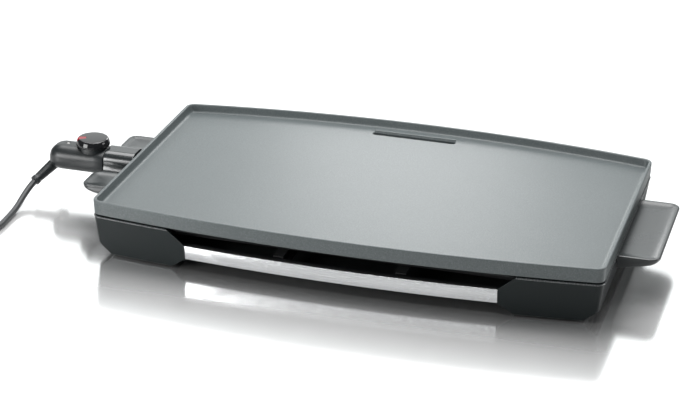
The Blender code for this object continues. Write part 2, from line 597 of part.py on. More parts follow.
# ---------------------------------------------------------------- strain relief, lead, coil and mains plug
along = (RELIEF_B - RELIEF_A).normalized()
span = (RELIEF_B - RELIEF_A).length
relief = mesh_object(
    "strain_relief",
    turned(RELIEF_A - along * 0.006, along, [(0.0062, 0), (0.0062, 0.008), (0.0048, span - 0.0020), (0.0055, span - 0.0015), (0.0055, span + 0.0025), (0.0050, span + 0.0030)], 20),
    THERMO,
    PLUG,
)
bool_with(relief, lofted(housing_rings(0.0004, PLUG_X1)), THERMO)


def spline(points, step):
    """A smooth curve through the points (centripetal Catmull-Rom), read off at even steps."""
    pts = [Vector(p) for p in points]
    pts = [pts[0] * 2 - pts[1]] + pts + [pts[-1] * 2 - pts[-2]]
    fine = []
    for a, b, c, d in zip(pts, pts[1:], pts[2:], pts[3:]):
        t0, t1 = 0.0, math.sqrt((b - a).length)
        t2 = t1 + math.sqrt((c - b).length)
        t3 = t2 + math.sqrt((d - c).length)
        for k in range(24):
            t = t1 + (t2 - t1) * k / 24
            a1 = a * ((t1 - t) / (t1 - t0)) + b * ((t - t0) / (t1 - t0))
            a2 = b * ((t2 - t) / (t2 - t1)) + c * ((t - t1) / (t2 - t1))
            a3 = c * ((t3 - t) / (t3 - t2)) + d * ((t - t2) / (t3 - t2))
            b1 = a1 * ((t2 - t) / (t2 - t0)) + a2 * ((t - t0) / (t2 - t0))
            b2 = a2 * ((t3 - t) / (t3 - t1)) + a3 * ((t - t1) / (t3 - t1))
            fine.append(b1 * ((t2 - t) / (t2 - t1)) + b2 * ((t - t1) / (t2 - t1)))
    fine.append(pts[-2])
    run = [0.0]
    for p, q in zip(fine, fine[1:]):
        run.append(run[-1] + (q - p).length)
    n = max(2, round(run[-1] / step))
    out, i = [], 0
    for k in range(n + 1):
        s = run[-1] * k / n
        while i < len(run) - 2 and run[i + 1] < s:
            i += 1
        w = (s - run[i]) / max(run[i + 1] - run[i], 1e-9)
        out.append(fine[i].lerp(fine[i + 1], min(max(w, 0), 1)))
    return out


FLOOR = CORD_D / 2 + 0.0001
start = RELIEF_B + along * (0.0030 + GAP)
TURN_R = COIL_R + COIL_W / 2 - CORD_D / 2  # the outermost turn's middle
CLEAR_R = COIL_R + COIL_W / 2 + CORD_D / 2 + GAP
SWEEP = 0.0360  # radius of the two bends that bring the lead to the coil's far side
tangent = math.sqrt(CLEAR_R**2 - TURN_R**2)
west = COIL_X - TURN_R
bend_x, bend_y = west + SWEEP, COIL_Y + tangent + 0.0010
turn_x = -0.3893 - SWEEP
turn_y = bend_y + 2 * SWEEP
LEAD = [
    start,
    (-0.3905, -0.0385, 0.0142),
    (-0.3913, -0.0520, 0.0095),
    (-0.3908, -0.0660, 0.0058),
    (-0.3903, -0.0820, 0.0038),
    (-0.3898, -0.1000, FLOOR),
]
for deg in (0, 22.5, 45, 67.5):
    a = math.radians(deg)
    LEAD.append((turn_x + SWEEP * math.cos(a), turn_y - SWEEP * math.sin(a), FLOOR))
for deg in (90, 112.5, 135, 157.5, 180):
    a = math.radians(deg)
    LEAD.append((bend_x + SWEEP * math.cos(a), bend_y + SWEEP * math.sin(a), FLOOR))
LEAD.append((west, COIL_Y + tangent, FLOOR))
tube("power_cord", spline(LEAD, CORD_D * 2.2), CORD_D / 2, THERMO, CORD)

ring_profile = []
for k, (sx, sz) in enumerate(((1, -1), (1, 1), (-1, 1), (-1, -1))):
    for i in range(4):
        a = math.radians(-90 + 90 * k + 30 * i)
        r = CORD_D / 2
        ring_profile.append((COIL_R + sx * (COIL_W / 2 - r) + r * math.cos(a), COIL_Z + COIL_H / 2 + sz * (COIL_H / 2 - r) + r * math.sin(a)))
mesh_object("cord_coil", turned((COIL_X, COIL_Y, 0), (0, 0, 1), ring_profile, 36, loop=True), THERMO, CORD)

out = Vector((math.cos(COIL_OUT), math.sin(COIL_OUT), 0))
head = Vector((-out.y, out.x, 0))
leave = Vector((COIL_X, COIL_Y, COIL_Z + CORD_D * 1.5)) + out * TURN_R + head * (tangent + 0.0005)
PLUG_Z = 0.0190
PLUG_RUN = 0.0340
rise = PLUG_Z - leave.z
TAIL = [leave + head * (PLUG_RUN * t) + Vector((0, 0, rise * (3 * t * t - 2 * t * t * t))) for t in (0, 0.25, 0.5, 0.75, 1)]
tube("cord_tail", spline(TAIL, CORD_D * 1.2), CORD_D / 2, THERMO, CORD)

foot = TAIL[-1] + head * (2 * GAP)
mesh_object(
    "mains_plug",
    turned(foot, head, [(0.0042, 0), (0.0060, 0.0180), (0.0092, 0.0205), (0.0118, 0.0300), (0.0148, 0.0390), (0.0178, 0.0450), (0.0182, 0.0560), (0.0172, 0.0580)], 28),
    THERMO,
    PLUG,
)
for side, label in ((-1, "a"), (1, "b")):
    mesh_object("mains_pin_" + label, turned(foot + head * (0.0580 + GAP) + out * (side * 0.0095), head, [(0.0024, 0), (0.0024, 0.0175), (0.0015, 0.0190)], 14), THERMO, PIN)

# A strap round the coil's turns.
TIE_A = math.radians(100)
tr, tt = Vector((math.cos(TIE_A), math.sin(TIE_A), 0)), Vector((-math.sin(TIE_A), math.cos(TIE_A), 0))
middle = Vector((COIL_X, COIL_Y, COIL_Z + COIL_H / 2))
r0, r1 = COIL_R - COIL_W / 2 - 0.0006, COIL_R + COIL_W / 2 + GAP
hz = COIL_H / 2 + GAP
outer = [(r0 - 0.0009, -hz - 0.0009), (r1 + 0.0009, -hz - 0.0009), (r1 + 0.0009, hz + 0.0009), (r0 - 0.0009, hz + 0.0009)]
inner = [(r0, -hz), (r1, -hz), (r1, hz), (r0, hz)]


def strap(points, w):
    return [tuple(middle + tr * r + Vector((0, 0, z)) + tt * w) for r, z in points]


mesh_object("coil_tie", lofted([strap(outer, -0.004), strap(outer, 0.004), strap(inner, 0.004), strap(inner, -0.004)], loop=True), THERMO, TIE, smooth=0)
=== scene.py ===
import json
import math

import bmesh
import bpy
from mathutils import Matrix, Vector


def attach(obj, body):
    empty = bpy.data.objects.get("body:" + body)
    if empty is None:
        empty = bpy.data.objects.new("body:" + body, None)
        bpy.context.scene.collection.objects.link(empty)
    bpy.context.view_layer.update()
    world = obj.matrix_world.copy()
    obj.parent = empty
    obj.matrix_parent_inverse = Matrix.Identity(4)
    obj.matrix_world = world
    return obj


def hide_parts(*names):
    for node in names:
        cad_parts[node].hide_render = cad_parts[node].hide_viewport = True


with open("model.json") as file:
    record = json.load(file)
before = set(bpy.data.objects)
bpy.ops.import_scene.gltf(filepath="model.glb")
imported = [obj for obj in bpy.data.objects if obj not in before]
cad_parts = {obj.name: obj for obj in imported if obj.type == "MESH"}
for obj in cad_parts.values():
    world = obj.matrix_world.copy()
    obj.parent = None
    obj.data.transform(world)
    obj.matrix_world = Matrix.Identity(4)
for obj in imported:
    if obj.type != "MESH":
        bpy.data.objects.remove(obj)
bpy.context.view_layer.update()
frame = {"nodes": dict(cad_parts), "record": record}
NODES = frame["nodes"]

# The same constants as the CAD source, about the plate's middle; SHIFT moves them into the part's frame.
SHIFT = Vector((0.0325, -0.0030, 0.0))
HALF_L, HALF_W, BOW_FRONT, BOW_BACK, CORNER_R = 0.2700, 0.1465, 0.0185, 0.0245, 0.0110
RIM_Z, SURFACE_Z, UNDER_Z, WALL_Z = 0.0625, 0.0535, 0.0490, 0.0470
SLOT_HALF, SLOT_Y0, SLOT_Y1 = 0.0475, 0.1425, 0.1500
BASE_TOP, BASE_LOW, FOOT_Z = 0.0456, 0.0125, 0.0020
DRAFT, SKIN = 0.13, 0.0022
CASE_IN, CASE_TOP_IN, CHAMFER_Z = 0.1650, 0.1838, 0.0297
TRIM_Z0, TRIM_Z1, TRIM_LEAN = 0.0131, 0.0287, 0.0018
TRIM_INSET, TRIM_T, RAIL_INSET, RAIL_T = 0.0060, 0.0013, 0.0076, 0.0060
HANDLE_HALF, HANDLE_TIP = 0.0745, 0.3120
GAP = 0.0003
SHROUD_X0, SHROUD_X1 = -0.3095, -0.2755
PLUG_X0, PLUG_X1 = -0.3770, -0.3102
PLUG_HALF, PLUG_Z0, PLUG_Z1, PLUG_SPLIT = 0.0175, 0.0298, 0.0583, 0.0385
KNOB_X, KNOB_R, KNOB_Z0, KNOB_Z1 = -0.3275, 0.0188, 0.0602, 0.0690
CORD_D = 0.0068
COIL_X, COIL_Y, COIL_R, COIL_W, COIL_H, COIL_Z = -0.4200, -0.2150, 0.0370, 0.0204, 0.0136, 0.0013
RELIEF_A, RELIEF_B = Vector((-0.3735, 0.0, 0.0335)), Vector((-0.3862, -0.0250, 0.0210))


# ---------------------------------------------------------------- camera
def camera():
    az, el, roll = math.radians(15.91), math.radians(24.02), math.radians(0.918)
    back = Vector((math.sin(az) * math.cos(el), -math.cos(az) * math.cos(el), math.sin(el)))
    right = Vector((math.cos(az), math.sin(az), 0))
    up = back.cross(right)
    r = right * math.cos(roll) + up * math.sin(roll)
    u = up * math.cos(roll) - right * math.sin(roll)
    cam = bpy.data.cameras.new("camera")
    cam.sensor_fit, cam.sensor_width, cam.lens = "HORIZONTAL", 36.0, 111.04
    cam.clip_start, cam.clip_end = 0.05, 50.0
    o = bpy.data.objects.new("camera", cam)
    bpy.context.scene.collection.objects.link(o)
    o.matrix_world = Matrix(((r.x, u.x, back.x, 0.5805), (r.y, u.y, back.y, -2.0397), (r.z, u.z, back.z, 0.9679), (0, 0, 0, 1)))
    bpy.context.scene.camera = o


camera()


# ---------------------------------------------------------------- mesh helpers
def add(name, bm, smooth=35, shift=True):
    bmesh.ops.recalc_face_normals(bm, faces=bm.faces)
    if shift:
        bmesh.ops.translate(bm, verts=bm.verts, vec=SHIFT)
    me = bpy.data.meshes.new(name)
    bm.to_mesh(me)
    bm.free()
    o = bpy.data.objects.new(name, me)
    bpy.context.scene.collection.objects.link(o)
    shade(o, smooth)
    return o


def shade(o, smooth=35):
    o.data.shade_smooth()
    o.data.set_sharp_from_angle(angle=math.radians(smooth))


def bake(o):
    """The modifiers' result becomes the mesh."""
    dg = bpy.context.evaluated_depsgraph_get()
    me = bpy.data.meshes.new_from_object(o.evaluated_get(dg))
    o.modifiers.clear()
    o.data = me


def cut(o, *tools, operation="DIFFERENCE"):
    made = []
    for bm in tools:
        t = add("tool", bm)
        m = o.modifiers.new("cut", "BOOLEAN")
        m.operation, m.solver, m.object = operation, "EXACT", t
        made.append(t)
    bake(o)
    for t in made:
        bpy.data.objects.remove(t, do_unlink=True)
    return o


def join(o, *tools):
    return cut(o, *tools, operation="UNION")


def soften(o, width=0.0005, segments=2, angle=32, flat=0.7, painted_highlight_slot=0):
    """Rounded edges, and normals that keep the faces flat. The bevel faces can take a second material slot: on the
    casings, a lighter painted highlight.
    """
    bm = bmesh.new()
    bm.from_mesh(o.data)
    bmesh.ops.remove_doubles(bm, verts=bm.verts, dist=1e-6)
    bmesh.ops.dissolve_limit(bm, angle_limit=math.radians(flat), verts=bm.verts, edges=bm.edges)
    bm.to_mesh(o.data)
    bm.free()
    b = o.modifiers.new("edges", "BEVEL")
    b.width, b.segments, b.limit_method, b.angle_limit = width, segments, "ANGLE", math.radians(angle)
    b.use_clamp_overlap = True
    b.miter_outer = "MITER_ARC"
    if painted_highlight_slot:
        b.material = painted_highlight_slot
    bake(o)
    shade(o, 40)
    w = o.modifiers.new("normals", "WEIGHTED_NORMAL")
    w.keep_sharp, w.weight = True, 60
    return o


def lofted(rings, loop=False, cap=True):
    bm = bmesh.new()
    rows = [[bm.verts.new(p) for p in r] for r in rings]
    for a, b in list(zip(rows, rows[1:])) + ([(rows[-1], rows[0])] if loop else []):
        for i in range(len(a)):
            j = (i + 1) % len(a)
            bm.faces.new((a[i], a[j], b[j], b[i]))
    if not loop and cap:
        bm.faces.new(rows[0])
        bm.faces.new(rows[-1])
    return bm


def frame_of(axis):
    z = Vector(axis).normalized()
    x = z.orthogonal().normalized()
    if abs(z.z) > 0.99:
        x = Vector((1, 0, 0))
    elif abs(z.z) < 1e-6:
        x = Vector((0, 0, 1))
    return x, z.cross(x), z


def turned(base, axis, profile, n=48, loop=False):
    x, y, z = frame_of(axis)
    base = Vector(base)
    return lofted([[base + z * h + (x * math.cos(t) + y * math.sin(t)) * r for t in (2 * math.pi * k / n for k in range(n))] for r, h in profile], loop)


def block(x0, x1, y0, y1, z0, z1):
    bm = bmesh.new()
    bmesh.ops.create_cube(bm, size=1.0)
    for v in bm.verts:
        v.co = (x0 if v.co.x < 0 else x1, y0 if v.co.y < 0 else y1, z0 if v.co.z < 0 else z1)
    return bm


def prism(points, axis, low, high):
    def put(p, t):
        return {"x": (t, *p), "y": (p[0], t, p[1]), "z": (*p, t)}[axis]

    return lofted([[put(p, low) for p in points], [put(p, high) for p in points]])


def rounded(hx, hy, r, n=6, cx=0.0, cy=0.0):
    out = []
    for k, (sx, sy) in enumerate(((1, -1), (1, 1), (-1, 1), (-1, -1))):
        for i in range(n + 1):
            t = math.radians(-90 + 90 * k + 90 * i / n)
            out.append((cx + sx * (hx - r) + r * math.cos(t), cy + sy * (hy - r) + r * math.sin(t)))
    return out


def arc(c, r, a0, a1, n):
    """Points on an arc in a profile plane, degrees."""
    return [(c[0] + r * math.cos(math.radians(a0 + (a1 - a0) * k / n)), c[1] + r * math.sin(math.radians(a0 + (a1 - a0) * k / n))) for k in range(n + 1)]


def edge(x, front):
    return HALF_W + (BOW_FRONT if front else BOW_BACK) * (1 - (x / HALF_L) ** 2)


def fillet(a, corner, b, r, n):
    u, v = (a - corner).normalized(), (b - corner).normalized()
    half = u.angle(v) / 2
    t = r / math.tan(half)
    mid = corner + (u + v).normalized() * (r / math.sin(half))
    p, q = corner + u * t, corner + v * t
    s, e = p - mid, q - mid
    turn = s.angle_signed(e)
    return [mid + Vector((s.x * math.cos(-turn * k / n) - s.y * math.sin(-turn * k / n), s.x * math.sin(-turn * k / n) + s.y * math.cos(-turn * k / n))) for k in range(n + 1)]


def outline(inset, bows=36, corner=10):
    hx, r = HALF_L - inset, max(CORNER_R - inset, 0.004)
    pts = []
    for front in (True, False):
        s = -1 if front else 1
        ends = [-hx, hx] if front else [hx, -hx]

        def at(x):
            return Vector((x, s * (edge(x, front) - inset)))

        c0, c1 = at(ends[0]), at(ends[1])
        reach = r * 1.1
        inner = [ends[0] + (ends[1] - ends[0]) * (reach / (2 * hx) + (1 - 2 * reach / (2 * hx)) * k / bows) for k in range(bows + 1)]
        side = Vector((0, -s))
        pts += fillet(c0 + side, c0, at(inner[1]), r, corner)
        pts += [at(x) for x in inner[1:-1]]
        pts += fillet(at(inner[-2]), c1, c1 + side, r, corner)
    return pts


def ring(inset, z, **kw):
    return [(p.x, p.y, z) for p in outline(inset, **kw)]


# ---------------------------------------------------------------- materials
class Nodes:
    """A small hand for building node trees."""

    def __init__(self, name):
        self.m = bpy.data.materials.new(name)
        self.m.use_nodes = True
        self.t = self.m.node_tree
        self.b = self.t.nodes["Principled BSDF"]
        self.co = self.add("ShaderNodeTexCoord").outputs["Object"]

    def add(self, kind, **props):
        n = self.t.nodes.new(kind)
        for k, v in props.items():
            setattr(n, k, v)
        return n

    def to(self, a, b):
        self.t.links.new(a, b)

    def noise(self, scale, detail=3.0, rough=0.55, stretch=(1, 1, 1)):
        mp = self.add("ShaderNodeMapping")
        mp.inputs["Scale"].default_value = stretch
        self.to(self.co, mp.inputs["Vector"])
        n = self.add("ShaderNodeTexNoise")
        n.inputs["Scale"].default_value = scale
        n.inputs["Detail"].default_value = detail
        n.inputs["Roughness"].default_value = rough
        self.to(mp.outputs["Vector"], n.inputs["Vector"])
        return n.outputs[0]

    def cells(self, scale, kind="F1"):
        n = self.add("ShaderNodeTexVoronoi", feature=kind)
        n.inputs["Scale"].default_value = scale
        self.to(self.co, n.inputs["Vector"])
        return n.outputs["Distance"]

    def span(self, value, a0, a1, b0, b1):
        n = self.add("ShaderNodeMapRange")
        for k, v in (("From Min", a0), ("From Max", a1), ("To Min", b0), ("To Max", b1)):
            n.inputs[k].default_value = v
        self.to(value, n.inputs["Value"])
        return n.outputs["Result"]

    def ramp(self, value, stops):
        n = self.add("ShaderNodeValToRGB")
        e = n.color_ramp.elements
        while len(e) < len(stops):
            e.new(0.5)
        for i, (p, c) in enumerate(stops):
            e[i].position, e[i].color = p, (*c, 1.0)
        self.to(value, n.inputs["Fac"])
        return n.outputs["Color"]

    def mix(self, a, b, f):
        n = self.add("ShaderNodeMath", operation="MULTIPLY_ADD")
        n.inputs[1].default_value = f
        self.to(b, n.inputs[0])
        self.to(a, n.inputs[2])
        return n.outputs[0]

    def bump(self, height, distance, strength=1.0, after=None):
        n = self.add("ShaderNodeBump")
        n.inputs["Strength"].default_value = strength
        n.inputs["Distance"].default_value = distance
        self.to(height, n.inputs["Height"])
        if after is not None:
            self.to(after, n.inputs["Normal"])
        return n.outputs["Normal"]

    def set(self, **kw):
        for k, v in kw.items():
            self.b.inputs[k.replace("_", " ")].default_value = v


def shades(rgb, d):
    return tuple(max(c * (1 - d), 0) for c in rgb), rgb, tuple(c * (1 + d) for c in rgb)


def plastic(name, rgb, rough, grain=2600, depth=0.00003, spec=0.4, vary=0.12, coat=0.0, coat_rough=0.1):
    """Moulded plastic: fine spark-eroded grain, faint flow clouds and slightly uneven gloss."""
    n = Nodes(name)
    a, b, c = shades(rgb, vary)
    clouds = n.noise(14, 3)
    n.to(n.ramp(clouds, [(0.25, a), (0.5, b), (0.75, c)]), n.b.inputs["Base Color"])
    fine = n.noise(grain, 2, 0.6)
    n.to(n.span(n.mix(clouds, fine, 0.35), 0.3, 1.0, rough * 0.88, min(rough * 1.16, 1)), n.b.inputs["Roughness"])
    soft = n.bump(clouds, 0.00025, 0.25)
    n.to(n.bump(fine, depth, 1.0, soft), n.b.inputs["Normal"])
    n.set(Specular_IOR_Level=spec)
    if coat:
        n.set(Coat_Weight=coat, Coat_Roughness=coat_rough)
    return n.m


def gloss_plastic(name, rgb, rough=0.10, spec=0.5):
    """Polished moulding: very faint orange-peel and hairline scuffs."""
    n = Nodes(name)
    a, b, c = shades(rgb, 0.15)
    n.to(n.ramp(n.noise(25, 2), [(0.3, a), (0.5, b), (0.7, c)]), n.b.inputs["Base Color"])
    scuff = n.noise(900, 4, 0.7, (1, 1, 0.12))
    n.to(n.span(scuff, 0.35, 0.75, rough * 0.92, rough * 1.2), n.b.inputs["Roughness"])
    n.to(n.bump(n.noise(110, 2), 0.00001, 0.4), n.b.inputs["Normal"])
    n.set(Specular_IOR_Level=spec)
    return n.m


def nonstick(name):
    """Satin sprayed coat on cast aluminium: fine speckle, tiny pits, clouds of gloss."""
    n = Nodes(name)
    speck = n.cells(1500)
    fine = n.noise(1700, 4, 0.65)
    clouds = n.noise(9, 4, 0.6)
    mottle = n.noise(620, 3, 0.75)
    body = n.ramp(n.mix(n.mix(fine, mottle, 0.5), clouds, 0.12), [(0.62, (0.056, 0.068, 0.070)), (0.83, (0.074, 0.088, 0.090)), (1.0, (0.128, 0.145, 0.147))])
    n.to(body, n.b.inputs["Base Color"])
    n.to(n.span(n.mix(speck, clouds, 0.25), 0.1, 0.8, 0.38, 0.47), n.b.inputs["Roughness"])
    cast = n.bump(n.noise(300, 3, 0.5), 0.00006, 0.35)
    n.to(n.bump(n.mix(fine, speck, 0.6), 0.00007, 0.55, cast), n.b.inputs["Normal"])
    n.set(Specular_IOR_Level=0.50)
    return n.m


def brushed(name, rgb, along="x", rough=0.30):
    """Brushed sheet: long fine scratches with uneven gloss."""
    n = Nodes(name)
    s = {"x": (0.012, 1, 1), "y": (1, 0.012, 1), "z": (1, 1, 0.012)}[along]
    lines = n.noise(3400, 3, 0.6, s)
    broad = n.noise(420, 3, 0.5, s)
    a, b, c = shades(rgb, 0.07)
    n.to(n.ramp(n.mix(broad, lines, 0.6), [(0.45, a), (0.8, b), (1.0, c)]), n.b.inputs["Base Color"])
    n.to(n.span(lines, 0.3, 0.7, rough * 0.88, rough * 1.2), n.b.inputs["Roughness"])
    n.to(n.bump(lines, 0.000022, 0.6), n.b.inputs["Normal"])
    n.set(Metallic=1.0, Anisotropic=0.55)
    return n.m


def metal(name, rgb, rough, scale=900, tint=None):
    """Plated or drawn metal: fine grain, faint staining."""
    n = Nodes(name)
    a, b, c = shades(rgb, 0.18)
    stain = n.noise(160, 4, 0.65)
    n.to(n.ramp(stain, [(0.3, tint or a), (0.52, b), (0.72, c)]), n.b.inputs["Base Color"])
    fine = n.noise(scale, 3, 0.6)
    n.to(n.span(n.mix(stain, fine, 0.5), 0.4, 1.1, rough * 0.8, rough * 1.3), n.b.inputs["Roughness"])
    n.to(n.bump(fine, 0.00003, 0.5), n.b.inputs["Normal"])
    n.set(Metallic=1.0)
    return n.m


def rubber(name, rgb, rough=0.55, grain=1800, depth=0.00004, spec=0.35):
    n = Nodes(name)
    a, b, c = shades(rgb, 0.2)
    fine = n.noise(grain, 3, 0.6)
    wear = n.noise(70, 4, 0.6)
    n.to(n.ramp(wear, [(0.3, a), (0.5, b), (0.72, c)]), n.b.inputs["Base Color"])
    n.to(n.span(n.mix(wear, fine, 0.5), 0.35, 1.1, rough * 0.85, min(1, rough * 1.2)), n.b.inputs["Roughness"])
    n.to(n.bump(fine, depth, 0.8), n.b.inputs["Normal"])
    n.set(Specular_IOR_Level=spec)
    return n.m


def glassy(name, rgb, alpha_rough=0.08):
    n = Nodes(name)
    n.to(n.ramp(n.noise(500, 2), [(0.3, tuple(c * 0.85 for c in rgb)), (0.7, rgb)]), n.b.inputs["Base Color"])
    n.to(n.span(n.noise(900, 2), 0.3, 0.7, alpha_rough * 0.8, alpha_rough * 1.4), n.b.inputs["Roughness"])
    n.to(n.bump(n.noise(700, 2), 0.00003, 0.3), n.b.inputs["Normal"])
    n.set(Transmission_Weight=0.55, IOR=1.49)
    return n.m


MAT = {
    "base_plastic": plastic("base_plastic", (0.0070, 0.0108, 0.0113), 0.46, spec=0.22),
    # A lighter, glossier copy of the base plastic, laid on the casings' top edges as a painted highlight.
    "casing_edge_painted_highlight": gloss_plastic("casing_edge_painted_highlight", (0.060, 0.066, 0.068), 0.26, spec=1.0),
    "handle_plastic": plastic("handle_plastic", (0.014, 0.018, 0.019), 0.28, grain=2600, depth=0.000003, spec=0.85, vary=0.06),
    "nonstick_coat": nonstick("nonstick_coat"),
    "trim_steel": brushed("trim_steel", (0.86, 0.87, 0.88), rough=0.24),
    "rail_plastic": plastic("rail_plastic", (0.022, 0.024, 0.025), 0.5, spec=0.3),
    "shield_sheet": plastic("shield_sheet", (0.030, 0.031, 0.032), 0.5, grain=1100, depth=0.00005, spec=0.35),
    "foot_rubber": rubber("foot_rubber", (0.020, 0.020, 0.020), 0.75),
    "rest_silicone": rubber("rest_silicone", (0.09, 0.09, 0.09), 0.6),
    "screw_steel": metal("screw_steel", (0.58, 0.58, 0.56), 0.30, tint=(0.50, 0.47, 0.38)),
    "heater_sheath": metal("heater_sheath", (0.24, 0.22, 0.20), 0.42, tint=(0.20, 0.13, 0.09)),
    "pin_steel": metal("pin_steel", (0.72, 0.71, 0.68), 0.18),
    "shroud_plastic": gloss_plastic("shroud_plastic", (0.010, 0.013, 0.014), 0.21, spec=1.0),
    "plug_plastic": plastic("plug_plastic", (0.012, 0.015, 0.016), 0.36, grain=2000, depth=0.00001, spec=0.55),
    "contact_brass": metal("contact_brass", (0.75, 0.54, 0.22), 0.25),
    "switch_ceramic": plastic("switch_ceramic", (0.62, 0.59, 0.52), 0.5, grain=1500),
    "lamp_glass": glassy("lamp_glass", (0.95, 0.70, 0.55)),
    "lamp_lens": glassy("lamp_lens", (0.75, 0.74, 0.72)),
    "knob_plastic": gloss_plastic("knob_plastic", (0.008, 0.008, 0.009), 0.07),
    "knob_mark": gloss_plastic("knob_mark", (0.26, 0.006, 0.014), 0.16),
    "tray_plastic": plastic("tray_plastic", (0.028, 0.030, 0.032), 0.42),
    "cord_jacket": rubber("cord_jacket", (0.030, 0.032, 0.034), 0.40, spec=0.5),
    "tie_strap": rubber("tie_strap", (0.020, 0.020, 0.021), 0.8, grain=900, depth=0.00012),
    "mains_rubber": rubber("mains_rubber", (0.022, 0.023, 0.024), 0.45),
}
SLOT = {s["node"]: s["material_slot"] for s in frame["record"]["subparts"]}


def paint(o, slot_name):
    m = MAT[slot_name]
    if not o.data.materials:
        o.data.materials.append(m)
    for i in range(len(o.data.materials)):
        o.data.materials[i] = m
    return o


def piece(o, body, slot_name, *nodes):
    """A finished new piece: its material, the CAD body it rides on and the nodes it stands for."""
    paint(o, slot_name)
    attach(o, body)
    if nodes:
        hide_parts(*nodes)
    return o


# ---------------------------------------------------------------- the lead, its coil and the mains plug
def spline(points, step):
    pts = [Vector(p) for p in points]
    pts = [pts[0] * 2 - pts[1]] + pts + [pts[-1] * 2 - pts[-2]]
    fine = []
    for a, b, c, d in zip(pts, pts[1:], pts[2:], pts[3:]):
        t0, t1 = 0.0, math.sqrt((b - a).length)
        t2 = t1 + math.sqrt((c - b).length)
        t3 = t2 + math.sqrt((d - c).length)
        for k in range(24):
            t = t1 + (t2 - t1) * k / 24
            a1 = a * ((t1 - t) / (t1 - t0)) + b * ((t - t0) / (t1 - t0))
            a2 = b * ((t2 - t) / (t2 - t1)) + c * ((t - t1) / (t2 - t1))
            a3 = c * ((t3 - t) / (t3 - t2)) + d * ((t - t2) / (t3 - t2))
            b1 = a1 * ((t2 - t) / (t2 - t0)) + a2 * ((t - t0) / (t2 - t0))
            b2 = a2 * ((t3 - t) / (t3 - t1)) + a3 * ((t - t1) / (t3 - t1))
            fine.append(b1 * ((t2 - t) / (t2 - t1)) + b2 * ((t - t1) / (t2 - t1)))
    fine.append(pts[-2])
    return resample(fine, step)


def resample(fine, step):
    run = [0.0]
    for p, q in zip(fine, fine[1:]):
        run.append(run[-1] + (q - p).length)
    n = max(2, round(run[-1] / step))
    out, i = [], 0
    for k in range(n + 1):
        s = run[-1] * k / n
        while i < len(run) - 2 and run[i + 1] < s:
            i += 1
        w = (s - run[i]) / max(run[i + 1] - run[i], 1e-9)
        out.append(fine[i].lerp(fine[i + 1], min(max(w, 0), 1)))
    return out


along = (RELIEF_B - RELIEF_A).normalized()
FLOOR = CORD_D / 2 + 0.0001
start = RELIEF_B + along * (0.0030 + GAP)
TURN_R = COIL_R + COIL_W / 2 - CORD_D / 2
CLEAR_R = COIL_R + COIL_W / 2 + CORD_D / 2 + GAP
SWEEP = 0.0360
tangent = math.sqrt(CLEAR_R**2 - TURN_R**2)
west = COIL_X - TURN_R
bend_x, bend_y = west + SWEEP, COIL_Y + tangent + 0.0010
turn_x = -0.3893 - SWEEP
turn_y = bend_y + 2 * SWEEP
LEAD = [
    start,
    (-0.3905, -0.0385, 0.0142),
    (-0.3913, -0.0520, 0.0095),
    (-0.3908, -0.0660, 0.0058),
    (-0.3903, -0.0820, 0.0038),
    (-0.3898, -0.1000, FLOOR),
]
for deg in (0, 22.5, 45, 67.5):
    a = math.radians(deg)
    LEAD.append((turn_x + SWEEP * math.cos(a), turn_y - SWEEP * math.sin(a), FLOOR))
for deg in (90, 112.5, 135, 157.5, 180):
    a = math.radians(deg)
    LEAD.append((bend_x + SWEEP * math.cos(a), bend_y + SWEEP * math.sin(a), FLOOR))
LEAD.append((west, COIL_Y + tangent, FLOOR))
LEAD.insert(0, RELIEF_B - along * 0.0060)
out = Vector((math.cos(math.radians(205)), math.sin(math.radians(205)), 0))
head = Vector((-out.y, out.x, 0))
leave = Vector((COIL_X, COIL_Y, COIL_Z + CORD_D * 1.5)) + out * TURN_R + head * (tangent + 0.0005)
rise = 0.0190 - leave.z
TAIL = [leave + head * (0.0340 * t) + Vector((0, 0, rise * (3 * t * t - 2 * t * t * t))) for t in (0, 0.25, 0.5, 0.75, 1)]


def winding():
    """Five and a bit turns in two layers of three lanes: outer to inner below, then inner to outer on top."""
    low, high = COIL_Z + CORD_D / 2, COIL_Z + CORD_D * 1.5
    lanes = (TURN_R, TURN_R - CORD_D, TURN_R - 2 * CORD_D)
    # angle gone, radius, height: each change happens between two neighbouring entries
    marks = [(180, lanes[0], low), (470, lanes[0], low), (530, lanes[1], low), (830, lanes[1], low), (890, lanes[2], low), (1130, lanes[2], low), (1190, lanes[2], high),
             (1430, lanes[2], high), (1490, lanes[1], high), (1790, lanes[1], high), (1850, lanes[0], high), (2005, lanes[0], high)]
    pts = []
    for (a0, r0, z0), (a1, r1, z1) in zip(marks, marks[1:]):
        n = max(4, round((a1 - a0) / 5))
        for k in range(n):
            t = k / n
            s = t * t * (3 - 2 * t)
            a = math.radians(a0 + (a1 - a0) * t)
            r, z = r0 + (r1 - r0) * s, z0 + (z1 - z0) * s
            pts.append(Vector((COIL_X + r * math.cos(a), COIL_Y + r * math.sin(a), z)))
    a = math.radians(2005)
    pts.append(Vector((COIL_X + TURN_R * math.cos(a), COIL_Y + TURN_R * math.sin(a), high)))
    return pts


def whole_lead():
    pts = spline(LEAD, 0.004)
    wound = winding()
    # Climb from the floor to the coil's first layer over the last stretch.
    pts = [p.copy() for p in pts[:-1]] + wound
    tail = spline([wound[-1]] + TAIL + [TAIL[-1] + head * 0.0060], 0.004)
    return resample(pts + tail[1:], 0.0035)


route = [p + SHIFT for p in whole_lead()]
# A light smoothing takes the corner out of each join and keeps the ends.
for _ in range(6):
    route = [route[0]] + [route[i - 1] * 0.25 + route[i] * 0.5 + route[i + 1] * 0.25 for i in range(1, len(route) - 1)] + [route[-1]]

